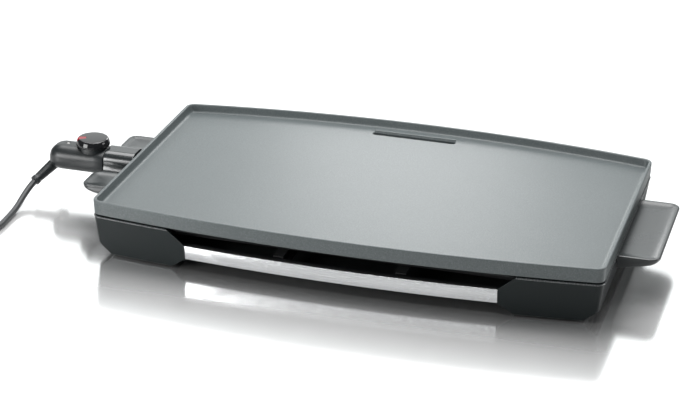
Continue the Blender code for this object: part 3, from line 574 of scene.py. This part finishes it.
cu = bpy.data.curves.new("mains_lead", "CURVE")
cu.dimensions, cu.bevel_depth, cu.bevel_resolution, cu.use_fill_caps = "3D", CORD_D / 2, 5, True
sp = cu.splines.new("POLY")
sp.points.add(len(route) - 1)
for p, q in zip(sp.points, route):
    p.co = (*q, 1.0)
sp.use_smooth = True
lead = bpy.data.objects.new("mains_lead", cu)
bpy.context.scene.collection.objects.link(lead)
cu.materials.append(MAT["cord_jacket"])
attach(lead, "thermostat_plug")
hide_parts("power_cord", "cord_coil", "cord_tail")

# Strain relief: a tapered boot with ring ribs and a collar at its mouth.
span = (RELIEF_B - RELIEF_A).length
prof = [(0.0050, -0.0030), (0.0102, -0.0030), (0.0099, 0.0015), (0.0092, 0.0035), (0.0082, 0.0052), (0.0073, 0.0065), (0.0067, 0.0075), (0.0064, 0.0082)]
h, r = 0.0100, 0.00612
while h < 0.006 + span - 0.0055:
    k = (h - 0.008) / (0.006 + span - 0.010)
    r = 0.0062 + (0.0049 - 0.0062) * k
    prof += [(r, h), (r, h + 0.0019), (r - 0.00035, h + 0.0021), (r - 0.00035, h + 0.0026), (r - 0.00005, h + 0.0028)]
    h += 0.0029
e = span + 0.006
prof += [(0.0048, e - 0.0035), (0.0048, e - 0.0022), (0.0054, e - 0.0018), (0.0055, e - 0.0014), (0.0055, e - 0.0045 + 0.0070), (0.0053, e + 0.0028), (0.0049, e + 0.0030), (0.0036, e + 0.0030), (0.0035, e + 0.0020), (0.0035, -0.0030)]
boot = add("strain_relief_boot", turned(RELIEF_A - along * 0.006, along, prof, 40, loop=True), 50)
piece(boot, "thermostat_plug", "plug_plastic", "strain_relief")

# Mains plug: a moulded body with grip rings, and a face with a shallow step round the pins.
foot = TAIL[-1] + head * (2 * GAP)
prof = [(0.0036, 0.0004), (0.0039, 0.0), (0.0044, 0.0004)]
for k in range(6):
    r = 0.0045 + 0.0012 * k / 5
    prof += [(r, 0.0012 + 0.0029 * k), (r + 0.0001, 0.0030 + 0.0029 * k), (r - 0.0007, 0.0032 + 0.0029 * k), (r - 0.0006, 0.0039 + 0.0029 * k)]
prof += [(0.0064, 0.0192), (0.0082, 0.0200), (0.0093, 0.0210), (0.0104, 0.0245), (0.0116, 0.0290)]
for k in range(5):
    r = 0.0122 + 0.0008 * k
    prof += [(r, 0.0305 + 0.0022 * k), (r + 0.0005, 0.0316 + 0.0022 * k), (r + 0.0001, 0.0324 + 0.0022 * k)]
prof += [(0.0166, 0.0424), (0.0175, 0.0442), (0.0180, 0.0465), (0.0182, 0.0500), (0.0182, 0.0560), (0.0180, 0.0572), (0.0172, 0.0580), (0.0160, 0.0580), (0.0156, 0.0574), (0.0040, 0.0574)]
plug = add("moulded_mains_plug", turned(foot, head, prof, 56), 42)
side_flat = []
for s in (-1, 1):
    c = foot + head * 0.0500 + out * 0
    up = Vector((0, 0, 1))
    bm = block(-0.0035, 0.0035, -0.0016, 0.0016, -0.0090, 0.0090)
    m = Matrix((( out.x, up.x, head.x), (out.y, up.y, head.y), (out.z, up.z, head.z))).to_4x4()
    m.translation = c + up * (s * 0.0176)
    bmesh.ops.transform(bm, matrix=m, verts=bm.verts)
    side_flat.append(bm)
cut(plug, *side_flat)
shade(plug, 42)
piece(plug, "thermostat_plug", "mains_rubber", "mains_plug")

# ---------------------------------------------------------------- grill plate
def grill_plate():
    """The cast plate: soft rim, hollow-cornered basin, drain slot with its ridge, spout below."""
    prof = [(0.0090, UNDER_Z), (0.0056, UNDER_Z)]
    prof += [(0.0052, UNDER_Z - 0.0002), (0.0047, WALL_Z + 0.0004), (0.0042, WALL_Z)]
    prof += [(0.0018, WALL_Z), (0.0012, WALL_Z + 0.0002), (0.0009, WALL_Z + 0.0007), (0.00085, WALL_Z + 0.0014)]
    prof += [(0.0003, RIM_Z - 0.0016), (0.00032, RIM_Z - 0.0009), (0.0005, RIM_Z - 0.0004), (0.0009, RIM_Z - 0.0001), (0.0013, RIM_Z)]
    prof += [(0.0027, RIM_Z), (0.0031, RIM_Z - 0.0001), (0.0035, RIM_Z - 0.0004), (0.0038, RIM_Z - 0.0009)]
    # Inner wall into a 2.4 mm hollow fillet.
    prof += [(0.0046, SURFACE_Z + 0.0046), (0.0050, SURFACE_Z + 0.0028)]
    prof += [(0.0054, SURFACE_Z + 0.0016), (0.0061, SURFACE_Z + 0.0008), (0.0071, SURFACE_Z + 0.0003), (0.0083, SURFACE_Z + 0.00005), (0.0100, SURFACE_Z)]
    o = add("griddle_plate", lofted([ring(i, z) for i, z in prof]))
    mid = (SLOT_Y0 + SLOT_Y1) / 2
    spout = prism(rounded(SLOT_HALF + 0.003, 0.0068, 0.003, 6, 0, mid), "z", 0.0440, UNDER_Z + 0.0015)
    ridge_rings = []
    for grow, z in ((0.0000, SURFACE_Z - 0.001), (0.0000, SURFACE_Z + 0.0002), (-0.0003, SURFACE_Z + 0.0011), (-0.0007, SURFACE_Z + 0.0016), (-0.0011, SURFACE_Z + 0.0018)):
        ridge_rings.append([(x, y, z) for x, y in rounded(SLOT_HALF + grow, 0.0014 + grow, 0.0013 + grow * 0.9, 5, 0, 0.1522)])
    bosses = [turned((-0.2500, s * 0.0150, 0.0403), (0, 0, 1), [(0.0032, 0), (0.0032, 0.0100)], 24) for s in (-1, 1)]
    join(o, spout, lofted(ridge_rings), *bosses)
    # The slot's mouth is dished, then goes straight down.
    mouth = lofted([[(x, y, z) for x, y in rounded(SLOT_HALF + g, (SLOT_Y1 - SLOT_Y0) / 2 + g, 0.003 + g, 6, 0, mid)] for g, z in ((0, 0.0400), (0, SURFACE_Z - 0.0012), (0.0002, SURFACE_Z - 0.0006), (0.0006, SURFACE_Z - 0.0001), (0.0007, SURFACE_Z + 0.00005), (0.0007, RIM_Z))])
    holes = [turned((-0.2500, s * 0.0150, 0.0390), (0, 0, 1), [(0.0017, 0), (0.0017, 0.0085)], 20) for s in (-1, 1)]
    cut(o, mouth, block(-0.2750, -0.2645, -0.0165, 0.0165, 0.0450, UNDER_Z - 0.0001), *holes)
    shade(o, 38)
    w = o.modifiers.new("normals", "WEIGHTED_NORMAL")
    w.keep_sharp = True
    piece(o, "plate", "nonstick_coat", "grill_plate")


grill_plate()


# ---------------------------------------------------------------- base casings
def draft_inset(z):
    return 0.0010 + (0.0440 - z) * DRAFT


def casing(side, name, node):
    rings = [ring(draft_inset(FOOT_Z) + 0.0006, FOOT_Z), ring(draft_inset(FOOT_Z + 0.0006), FOOT_Z + 0.0006), ring(0.0009, 0.0432), ring(0.0003, 0.0441), ring(0.0002, 0.0446), ring(0.0006, 0.0452), ring(0.0016, BASE_TOP)]
    c = add(name, lofted(rings))
    far = -side * 0.30
    outer = [(0.2485, -0.010), (0.2485, 0.0008), (0.2625, BASE_LOW + 0.0005), (0.3000, BASE_LOW + 0.0005), (0.3000, -0.010)]
    inner = [(0.1500, -0.010), (0.1500, BASE_LOW - 0.0007), (0.1670, BASE_LOW - 0.0007), (0.1820, 0.0008), (0.1820, -0.010)]
    wedge = [(0.1600, CHAMFER_Z - 0.0042), (CASE_TOP_IN + 0.0060, BASE_TOP + 0.0051), (0.1600, BASE_TOP + 0.0051)]
    tools = [
        block(*sorted((far, side * CASE_IN)), -0.2, 0.2, -0.01, 0.06),
        lofted([ring(draft_inset(0.0045) + SKIN, 0.0045), ring(0.0012 + SKIN, BASE_TOP - 0.0025)]),
        lofted([ring(0.0170, 0.0400, corner=6), ring(0.0170, 0.0500, corner=6)]),
        prism([(side * x, z) for x, z in wedge], "y", -0.2, 0.2),
        block(*sorted((side * 0.15, side * 0.30)), -0.1180, 0.1230, -0.01, BASE_LOW),
    ]
    for cutter in (outer, inner):
        tools.append(prism([(side * x, z) for x, z in cutter], "y", -0.2, 0.2))
    for y in (-0.0550, 0.0550):
        tools.append(turned((side * 0.2600, y, 0.0385), (side, 0, 0), [(0.0019, 0), (0.0019, 0.0120)], 20))
    if side < 0:
        tools.append(block(-0.2900, -0.2400, -0.0225, 0.0225, 0.0355, 0.0600))
    cut(c, *tools)
    # Second material slot: a lighter grey laid on the top edge bevels and the faces along the top edge, a painted
    # highlight.
    c.data.materials.append(MAT["base_plastic"])
    c.data.materials.append(MAT["casing_edge_painted_highlight"])
    soften(c, 0.0009, 2, 30, painted_highlight_slot=1)
    for p in c.data.polygons:
        if p.center.z > 0.0439 and abs(p.normal.z) < 0.95:
            p.material_index = 1
    piece(c, "base", "base_plastic", node)
    c.data.materials[1] = MAT["casing_edge_painted_highlight"]


casing(-1, "end_casing_left", "casing_left")
casing(1, "end_casing_right", "casing_right")


# ---------------------------------------------------------------- grips
def under(x):
    """The grip's lower side, from its root out to the tip."""
    pts = [(0.2694, 0.0322), (0.2760, 0.0332), (0.2840, 0.0347), (0.2960, 0.0370), (0.3040, 0.0392), (0.3085, 0.0408), (HANDLE_TIP, 0.0424)]
    for (x0, z0), (x1, z1) in zip(pts, pts[1:]):
        if x <= x1:
            return z0 + (z1 - z0) * max(x - x0, 0) / (x1 - x0)
    return pts[-1][1]


def tab_plan(inset, y0, y1, root, tip_r, root_inset=0.0, n=8):
    """Square at the root, round at the tip. The inset moves the three free sides in."""
    x0, x1 = root + root_inset, HANDLE_TIP - inset
    y0, y1 = y0 + inset, y1 - inset
    r = max(tip_r - inset, 0.0012)
    pts = []
    rootn = 10
    for k in range(rootn):
        pts.append((x0, y1 + (y0 - y1) * k / rootn))
    for k in range(6):
        pts.append((x0 + (x1 - r - x0) * k / 6, y0))
    pts += [(x1 - r + r * math.cos(math.radians(a)), y0 + r + r * math.sin(math.radians(a))) for a in [-90 + 90 * k / n for k in range(n + 1)]]
    for k in range(1, 6):
        pts.append((x1, y0 + r + (y1 - y0 - 2 * r) * k / 6))
    pts += [(x1 - r + r * math.cos(math.radians(a)), y1 - r + r * math.sin(math.radians(a))) for a in [90 * k / n for k in range(n + 1)]]
    for k in range(1, 6):
        pts.append((x1 - r + (x0 - x1 + r) * k / 6, y1))
    return pts


def tab(side, y0, y1, root, dish=0.0022, tip_r=0.0105):
    """A thin grip with a shallow finger dish in its top."""
    top = BASE_TOP
    rings = []

    def level(inset, z, root_inset=0.0):
        rings.append([(side * x, y, z(x) if callable(z) else z) for x, y in tab_plan(inset, y0, y1, root, tip_r, root_inset)])

    for inset in (0.0170, 0.0110, 0.0060, 0.0028, 0.0012):
        level(inset, lambda x, i=inset: under(min(x + 0.0, HANDLE_TIP)) + 0.0000)
    level(0.0004, lambda x: min(under(x) + 0.0006, top - 0.0030))
    level(0.0000, lambda x: min(under(x) + 0.0016, top - 0.0022))
    level(0.0000, top - 0.0012)
    level(0.0002, top - 0.0005)
    level(0.0007, top - 0.0001)
    level(0.0012, top)
    for inset, deep in ((0.0020, 0.03), (0.0032, 0.12), (0.0046, 0.28), (0.0062, 0.48), (0.0082, 0.68), (0.0106, 0.84), (0.0134, 0.94), (0.0165, 1.0)):
        level(inset, top - dish * deep, inset * 0.02)
    return lofted(rings)


def grips():
    right = add("grip_right", tab(1, -HANDLE_HALF, HANDLE_HALF, 0.2694))
    cut(right, *[turned((0.2600, y, 0.0385), (1, 0, 0), [(0.0019, 0), (0.0019, 0.0245)], 20) for y in (-0.0550, 0.0550)])
    shade(right, 40)
    piece(right, "base", "handle_plastic", "handle_right")
    left = add("grip_left", tab(-1, 0.0340, HANDLE_HALF, 0.2726, 0.0022, 0.0100))
    root = block(-0.2732, -0.2694, -HANDLE_HALF, HANDLE_HALF, 0.0322, BASE_TOP)
    join(left, tab(-1, -HANDLE_HALF, -0.0340, 0.2726, 0.0022, 0.0100), root)
    cut(left, block(-0.2850, -0.2600, -0.0225, 0.0225, 0.0362, 0.0600), *[turned((-0.2600, y, 0.0385), (-1, 0, 0), [(0.0019, 0), (0.0019, 0.0245)], 20) for y in (-0.0550, 0.0550)])
    shade(left, 40)
    piece(left, "base", "handle_plastic", "handle_left")


grips()


# ---------------------------------------------------------------- trim and rails
def bar(name, half, front, inset, thick, z0, z1, r, n=48, lean=0.0):
    s = -1 if front else 1
    rings = []
    for k in range(n + 1):
        x = -half + 2 * half * k / n
        e = edge(x, front) - inset
        cy, cz = e - thick / 2, (z0 + z1) / 2
        rings.append([(x, s * (cy + p[0] + lean * (p[1] / (z1 - z0) + 0.5)), cz + p[1]) for p in rounded(thick / 2, (z1 - z0) / 2, r, 3)])
    return add(name, lofted(rings), 50)


trim = bar("front_trim_strip", CASE_IN - GAP - 0.0002, True, TRIM_INSET, TRIM_T, TRIM_Z0, TRIM_Z1, 0.0004, lean=TRIM_LEAN)
piece(trim, "base", "trim_steel", "front_trim")
for front, node, z1 in ((True, "front_rail", TRIM_Z1 - 0.0003), (False, "rear_rail", 0.0415)):
    rail = bar(node + "_bar", 0.1860, front, RAIL_INSET, RAIL_T, TRIM_Z0 + 0.0005, z1, 0.0008)
    tools = []
    if not front:
        tools.append(lofted([[(x, y, z) for x, y in rounded(0.0625, 0.0300, 0.004, 6, 0, 0.1600)] for z in (0.0, 0.0300)]))
    s = -1 if front else 1
    for side in (-1, 1):
        back = edge(0.1780, front) - RAIL_INSET - RAIL_T
        tools.append(turned((side * 0.1780, s * (back - 0.0100), 0.0210), (0, s, 0), [(0.0019, 0), (0.0019, 0.0250)], 20))
    cut(rail, *tools)
    shade(rail, 40)
    piece(rail, "base", "rail_plastic", node)


# ---------------------------------------------------------------- connector shroud on the plate
def yz_ring(x, hy, z0, z1, r, n=4):
    return [(x, p[0], p[1]) for p in rounded(hy, (z1 - z0) / 2, r, n, 0, (z0 + z1) / 2)]


def shroud():
    """A glossy sleeve: round shoulders, and sides that flare into a narrow skirt."""
    low, high, half, r = 0.0352, 0.0590, 0.0165, 0.0105
    side = [(0.0150, low), (0.0186, low), (0.0196, low + 0.0004), (0.0200, low + 0.0012), (0.0198, low + 0.0020)]
    p0, p1, p2 = Vector((0.0192, low + 0.0032)), Vector((half, low + 0.0068)), Vector((half, low + 0.0135))
    side += [tuple(p0 * (1 - t) ** 2 + p1 * (2 * t * (1 - t)) + p2 * (t * t)) for t in (k / 9 for k in range(10))]
    side += [(half - r + r * math.cos(math.radians(a)), high - r + r * math.sin(math.radians(a))) for a in range(6, 91, 7)]
    outline_yz = side + [(-y, z) for y, z in reversed(side)]
    cy, cz = 0.0, (low + high) / 2
    rs = []
    for x, g in ((SHROUD_X0, 0.970), (SHROUD_X0 + 0.0002, 0.990), (SHROUD_X0 + 0.0006, 1.0), (SHROUD_X0 + 0.0050, 1.0), (SHROUD_X1 - 0.0012, 1.0), (SHROUD_X1, 0.985)):
        rs.append([(x, y * g, cz + (z - cz) * g) for y, z in outline_yz])
    o = add("connector_hood", lofted(rs))
    join(o, block(SHROUD_X1 - 0.0060, -0.2440, -0.0190, 0.0190, 0.0375, 0.0400))
    tools = [
        lofted([yz_ring(SHROUD_X0 - 0.002, 0.0138, 0.0405, 0.0540, 0.0020, 4), yz_ring(SHROUD_X1 - 0.0035, 0.0138, 0.0405, 0.0540, 0.0020, 4)]),
        block(SHROUD_X1 - 0.0060, SHROUD_X1 + 0.0030, -0.0115, 0.0115, 0.0425, 0.0485),
    ]
    for s in (-1, 1):
        tools.append(turned((-0.2500, s * 0.0150, 0.0360), (0, 0, 1), [(0.0019, 0), (0.0019, 0.0060)], 20))
    cut(o, *tools)
    shade(o, 35)
    w = o.modifiers.new("normals", "WEIGHTED_NORMAL")
    w.keep_sharp, w.weight = True, 80
    piece(o, "plate", "shroud_plastic", "connector_shroud")


shroud()

# ---------------------------------------------------------------- thermostat housing
PLUG_CZ, PLUG_HH = (PLUG_Z0 + PLUG_Z1) / 2, (PLUG_Z1 - PLUG_Z0) / 2


def housing_rings(grow, x1, n=12):
    steps = [0.0, 0.02, 0.05, 0.10, 0.17, 0.25, 0.35, 0.45, 0.57, 0.70, 0.85, 1.0]
    reach, rings = 0.0180, []
    for t in steps:
        k = 0.24 + 0.76 * max(1 - (1 - t) ** 2.5, 0.0) ** 0.46
        hy, hh = PLUG_HALF * k, PLUG_HH * k
        rings.append((PLUG_X0 + reach * t, hy, PLUG_CZ - (PLUG_HH - hh) * 0.25, hh))
    for t in (0.25, 0.5, 0.75):
        rings.append((PLUG_X0 + reach + (PLUG_X1 - PLUG_X0 - reach) * t, PLUG_HALF, PLUG_CZ, PLUG_HH))
    if grow == 0:
        rings.append((PLUG_X1 - 0.0006, PLUG_HALF, PLUG_CZ, PLUG_HH))
        rings.append((PLUG_X1 - 0.0002, PLUG_HALF - 0.0002, PLUG_CZ, PLUG_HH - 0.0002))
        rings.append((PLUG_X1, PLUG_HALF - 0.0006, PLUG_CZ, PLUG_HH - 0.0006))
    else:
        rings.append((PLUG_X1, PLUG_HALF, PLUG_CZ, PLUG_HH))
    out = []
    for i, (x, hy, cz, hh) in enumerate(rings):
        x = x - grow if i == 0 else (x1 if i == len(rings) - 1 else x)
        hy, hh = hy + grow, hh + grow
        r = min(hy, hh) * 0.92
        out.append([(x, p[0], p[1]) for p in rounded(hy, hh, r, n, 0, cz)])
    return out


def housing_half(upper):
    h = add("housing_top" if upper else "housing_bottom", lofted(housing_rings(0.0, PLUG_X1)))
    if upper:
        join(h, turned((KNOB_X, 0, 0.0540), (0, 0, 1), [(0.0152, 0), (0.0150, 0.0050), (0.0149, 0.0055), (0.0146, 0.0058)], 64))
    lo = block(-0.3900, -0.3000, -0.03, 0.03, 0.02, PLUG_SPLIT + GAP / 2) if upper else block(-0.3900, -0.3000, -0.03, 0.03, PLUG_SPLIT - GAP / 2, 0.07)
    inner = lofted(housing_rings(-0.0020, PLUG_X1 - 0.0020))
    tools = [lo, inner]
    if upper:
        tools += [
            turned((KNOB_X, 0, 0.0500), (0, 0, 1), [(0.0031, 0), (0.0031, 0.0120)], 24),
            block(PLUG_X1 - 0.0050, PLUG_X1 + 0.0020, -0.0138, 0.0138, 0.0407, 0.0515),
            turned((-0.3570, 0, 0.0500), (0, 0, 1), [(0.0025, 0), (0.0025, 0.0120)], 24),
        ]
    cut(h, *tools)
    for y in (-0.0066, 0.0066):
        if upper:
            join(h, turned((-0.3655, y, PLUG_SPLIT + GAP / 2), (0, 0, 1), [(0.0026, 0), (0.0026, 0.0176)], 20))
            cut(h, turned((-0.3655, y, PLUG_SPLIT - 0.0020), (0, 0, 1), [(0.0014, 0), (0.0014, 0.0110)], 16))
        else:
            join(h, turned((-0.3655, y, 0.0314), (0, 0, 1), [(0.0030, 0), (0.0030, PLUG_SPLIT - GAP / 2 - 0.0314)], 20))
            cut(h, turned((-0.3655, y, 0.0250), (0, 0, 1), [(0.0024, 0), (0.0024, 0.0083), (0.0014, 0.0083), (0.0014, 0.0160)], 20))
    shade(h, 38)
    piece(h, "thermostat_plug", "plug_plastic", "plug_housing_upper" if upper else "plug_housing_lower")


housing_half(True)
housing_half(False)

# ---------------------------------------------------------------- knob
MARK_AT = math.radians(203)


def wedge(r0, r1, half):
    u, v = Vector((math.cos(MARK_AT), math.sin(MARK_AT))), Vector((-math.sin(MARK_AT), math.cos(MARK_AT)))
    return [(KNOB_X + (u * r + v * w).x, (u * r + v * w).y) for r, w in ((r0, -half * 0.55), (r1, -half), (r1, half), (r0, half * 0.55))]


KH = KNOB_Z1 - KNOB_Z0
KNOB_PROFILE = [(0.0164, 0), (0.0172, 0.0001), (0.0181, 0.0005), (0.0186, 0.0011), (0.0188, 0.0019), (0.01875, 0.0028), (0.0185, 0.0038), (0.0182, 0.0048), (0.01788, 0.0058), (0.01755, 0.0067), (0.0171, 0.0075), (0.0166, 0.0081), (0.0160, KH - 0.0003), (0.0152, KH - 0.0001), (0.0140, KH)]


def knob():
    o = add("temperature_dial", turned((KNOB_X, 0, KNOB_Z0), (0, 0, 1), KNOB_PROFILE, 96))
    cut(o, turned((KNOB_X, 0, KNOB_Z0 - 0.002), (0, 0, 1), [(0.0030, 0), (0.0030, 0.0080)], 20), prism(wedge(0.0072, 0.0200, 0.0046), "z", KNOB_Z1 - 0.0030, KNOB_Z1 + 0.002))
    shade(o, 30)
    piece(o, "knob", "knob_plastic", "temperature_knob")
    m = add("dial_pointer", prism(wedge(0.0074, 0.0198, 0.0044), "z", KNOB_Z1 - 0.0027, KNOB_Z1 + 0.0015))
    cut(m, turned((KNOB_X, 0, KNOB_Z0), (0, 0, 1), KNOB_PROFILE, 96), operation="INTERSECT")
    soften(m, 0.0002, 2, 40)
    piece(m, "knob", "knob_mark", "knob_mark")


knob()

# ---------------------------------------------------------------- CAD nodes that stay: edges and materials
ROUND = {"grease_tray": 0.0004, "heat_shield": 0.0003, "base_floor": 0.0003, "tray_guide_left": 0.0002, "tray_guide_right": 0.0002, "plug_nose": 0.0003, "coil_tie": 0.0003, "thermostat_switch": 0.0006}
for name, o in NODES.items():
    paint(o, SLOT[name])
    if name in ROUND or "screw" in name or name.startswith(("foot_pad", "plate_rest", "mains_pin", "terminal_pin")):
        w = o.modifiers.new("weld", "WELD")
        w.merge_threshold = 1e-6
        b = o.modifiers.new("edges", "BEVEL")
        b.width, b.segments, b.limit_method, b.angle_limit = ROUND.get(name, 0.00025), 2, "ANGLE", math.radians(35)
        b.use_clamp_overlap = True
        n = o.modifiers.new("normals", "WEIGHTED_NORMAL")
        n.keep_sharp = False

# ---------------------------------------------------------------- floor, light and world
def stage():
    bm = bmesh.new()
    bmesh.ops.create_grid(bm, x_segments=2, y_segments=2, size=6.0)
    bmesh.ops.translate(bm, verts=bm.verts, vec=(0, 0, -0.0002))
    floor = add("floor", bm, shift=False)
    n = Nodes("floor_gloss")
    n.to(n.ramp(n.noise(3, 2), [(0.3, (0.80, 0.80, 0.80)), (0.7, (0.82, 0.82, 0.82))]), n.b.inputs["Base Color"])
    n.set(Roughness=0.9, Specular_IOR_Level=0.0)
    # A polished top layer that reflects more at a low angle.
    gloss = n.add("ShaderNodeBsdfGlossy")
    gloss.inputs["Color"].default_value = (1, 1, 1, 1)
    n.to(n.span(n.noise(30, 2), 0.3, 0.7, 0.13, 0.15), gloss.inputs["Roughness"])
    facing = n.add("ShaderNodeLayerWeight")
    facing.inputs["Blend"].default_value = 0.5
    mixer = n.add("ShaderNodeMixShader")
    # The polish is full round the base and thins out away from it.
    parts = n.add("ShaderNodeSeparateXYZ")
    n.to(n.co, parts.inputs[0])
    reach = []
    for i, (mid, half) in enumerate(((SHIFT.x, 0.2650), (SHIFT.y, 0.1500))):
        off = n.add("ShaderNodeMath", operation="SUBTRACT")
        n.to(parts.outputs[i], off.inputs[0])
        off.inputs[1].default_value = mid
        size = n.add("ShaderNodeMath", operation="ABSOLUTE")
        n.to(off.outputs[0], size.inputs[0])
        past = n.add("ShaderNodeMath", operation="SUBTRACT")
        n.to(size.outputs[0], past.inputs[0])
        past.inputs[1].default_value = half
        keep = n.add("ShaderNodeMath", operation="MAXIMUM")
        n.to(past.outputs[0], keep.inputs[0])
        keep.inputs[1].default_value = 0.0
        square = n.add("ShaderNodeMath", operation="POWER")
        n.to(keep.outputs[0], square.inputs[0])
        square.inputs[1].default_value = 2.0
        reach.append(square.outputs[0])
    total = n.add("ShaderNodeMath", operation="ADD")
    n.to(reach[0], total.inputs[0])
    n.to(reach[1], total.inputs[1])
    far = n.add("ShaderNodeMath", operation="SQRT")
    n.to(total.outputs[0], far.inputs[0])
    polish = n.add("ShaderNodeMath", operation="MULTIPLY")
    n.to(n.span(facing.outputs["Facing"], 0.15, 0.60, 0.04, FLOOR_GLOSS), polish.inputs[0])
    n.to(n.span(far.outputs[0], 0.02, 0.26, 1.0, 0.12), polish.inputs[1])
    n.to(polish.outputs[0], mixer.inputs[0])
    n.to(n.b.outputs[0], mixer.inputs[1])
    n.to(gloss.outputs[0], mixer.inputs[2])
    n.to(mixer.outputs[0], n.t.nodes["Material Output"].inputs["Surface"])
    floor.data.materials.append(n.m)
    w = bpy.data.worlds.new("studio")
    bpy.context.scene.world = w
    w.use_nodes = True
    w.node_tree.nodes["Background"].inputs["Color"].default_value = (0.93, 0.97, 0.98, 1)
    w.node_tree.nodes["Background"].inputs["Strength"].default_value = WORLD
    for name, loc, aim, size, size_y, power, colour in LIGHTS:
        l = bpy.data.lights.new(name, "AREA")
        l.shape, l.size, l.size_y, l.energy, l.color = "RECTANGLE", size, size_y, power, colour
        o = bpy.data.objects.new(name, l)
        bpy.context.scene.collection.objects.link(o)
        o.location = loc
        o.rotation_euler = (Vector(aim) - Vector(loc)).to_track_quat("-Z", "Y").to_euler()
    bpy.context.scene.view_settings.view_transform = "Standard"
    bpy.context.scene.view_settings.look = "None"


FLOOR_GLOSS, WORLD = 0.92, 0.14
LIGHTS = (
    ("near_box", (-0.14, 0.78, 0.42), (0.02, -0.04, 0.05), 0.36, 0.22, 1.8, (1.0, 1.0, 1.0)),
    ("top_box", (0.0, -0.02, 0.80), (0.0, -0.02, 0), 0.5, 0.4, 4.5, (1.0, 1.0, 1.0)),
    ("sky_box", (-0.4, 1.1, 2.6), (0, 0, 0), 3.0, 2.0, 88, (1.0, 1.0, 1.0)),
    ("edge_box", (-0.2, -1.0, 2.4), (0, 0, 0), 1.4, 0.3, 14, (1.0, 1.0, 1.0)),
    ("back_wall", (-1.05, 3.2, 1.55), (-0.6, 0, 1.1), 3.4, 2.6, 33, (0.97, 1.0, 1.0)),
    ("front_left_box", (-0.76, -0.76, 0.24), (-0.20, -0.10, 0.06), 0.46, 0.42, 5.8, (1.0, 1.0, 1.0)),
    ("right_box", (1.15, 0.25, 0.50), (0.30, 0.0, 0.03), 0.5, 0.5, 3.0, (1.0, 1.0, 1.0)),
)
stage()
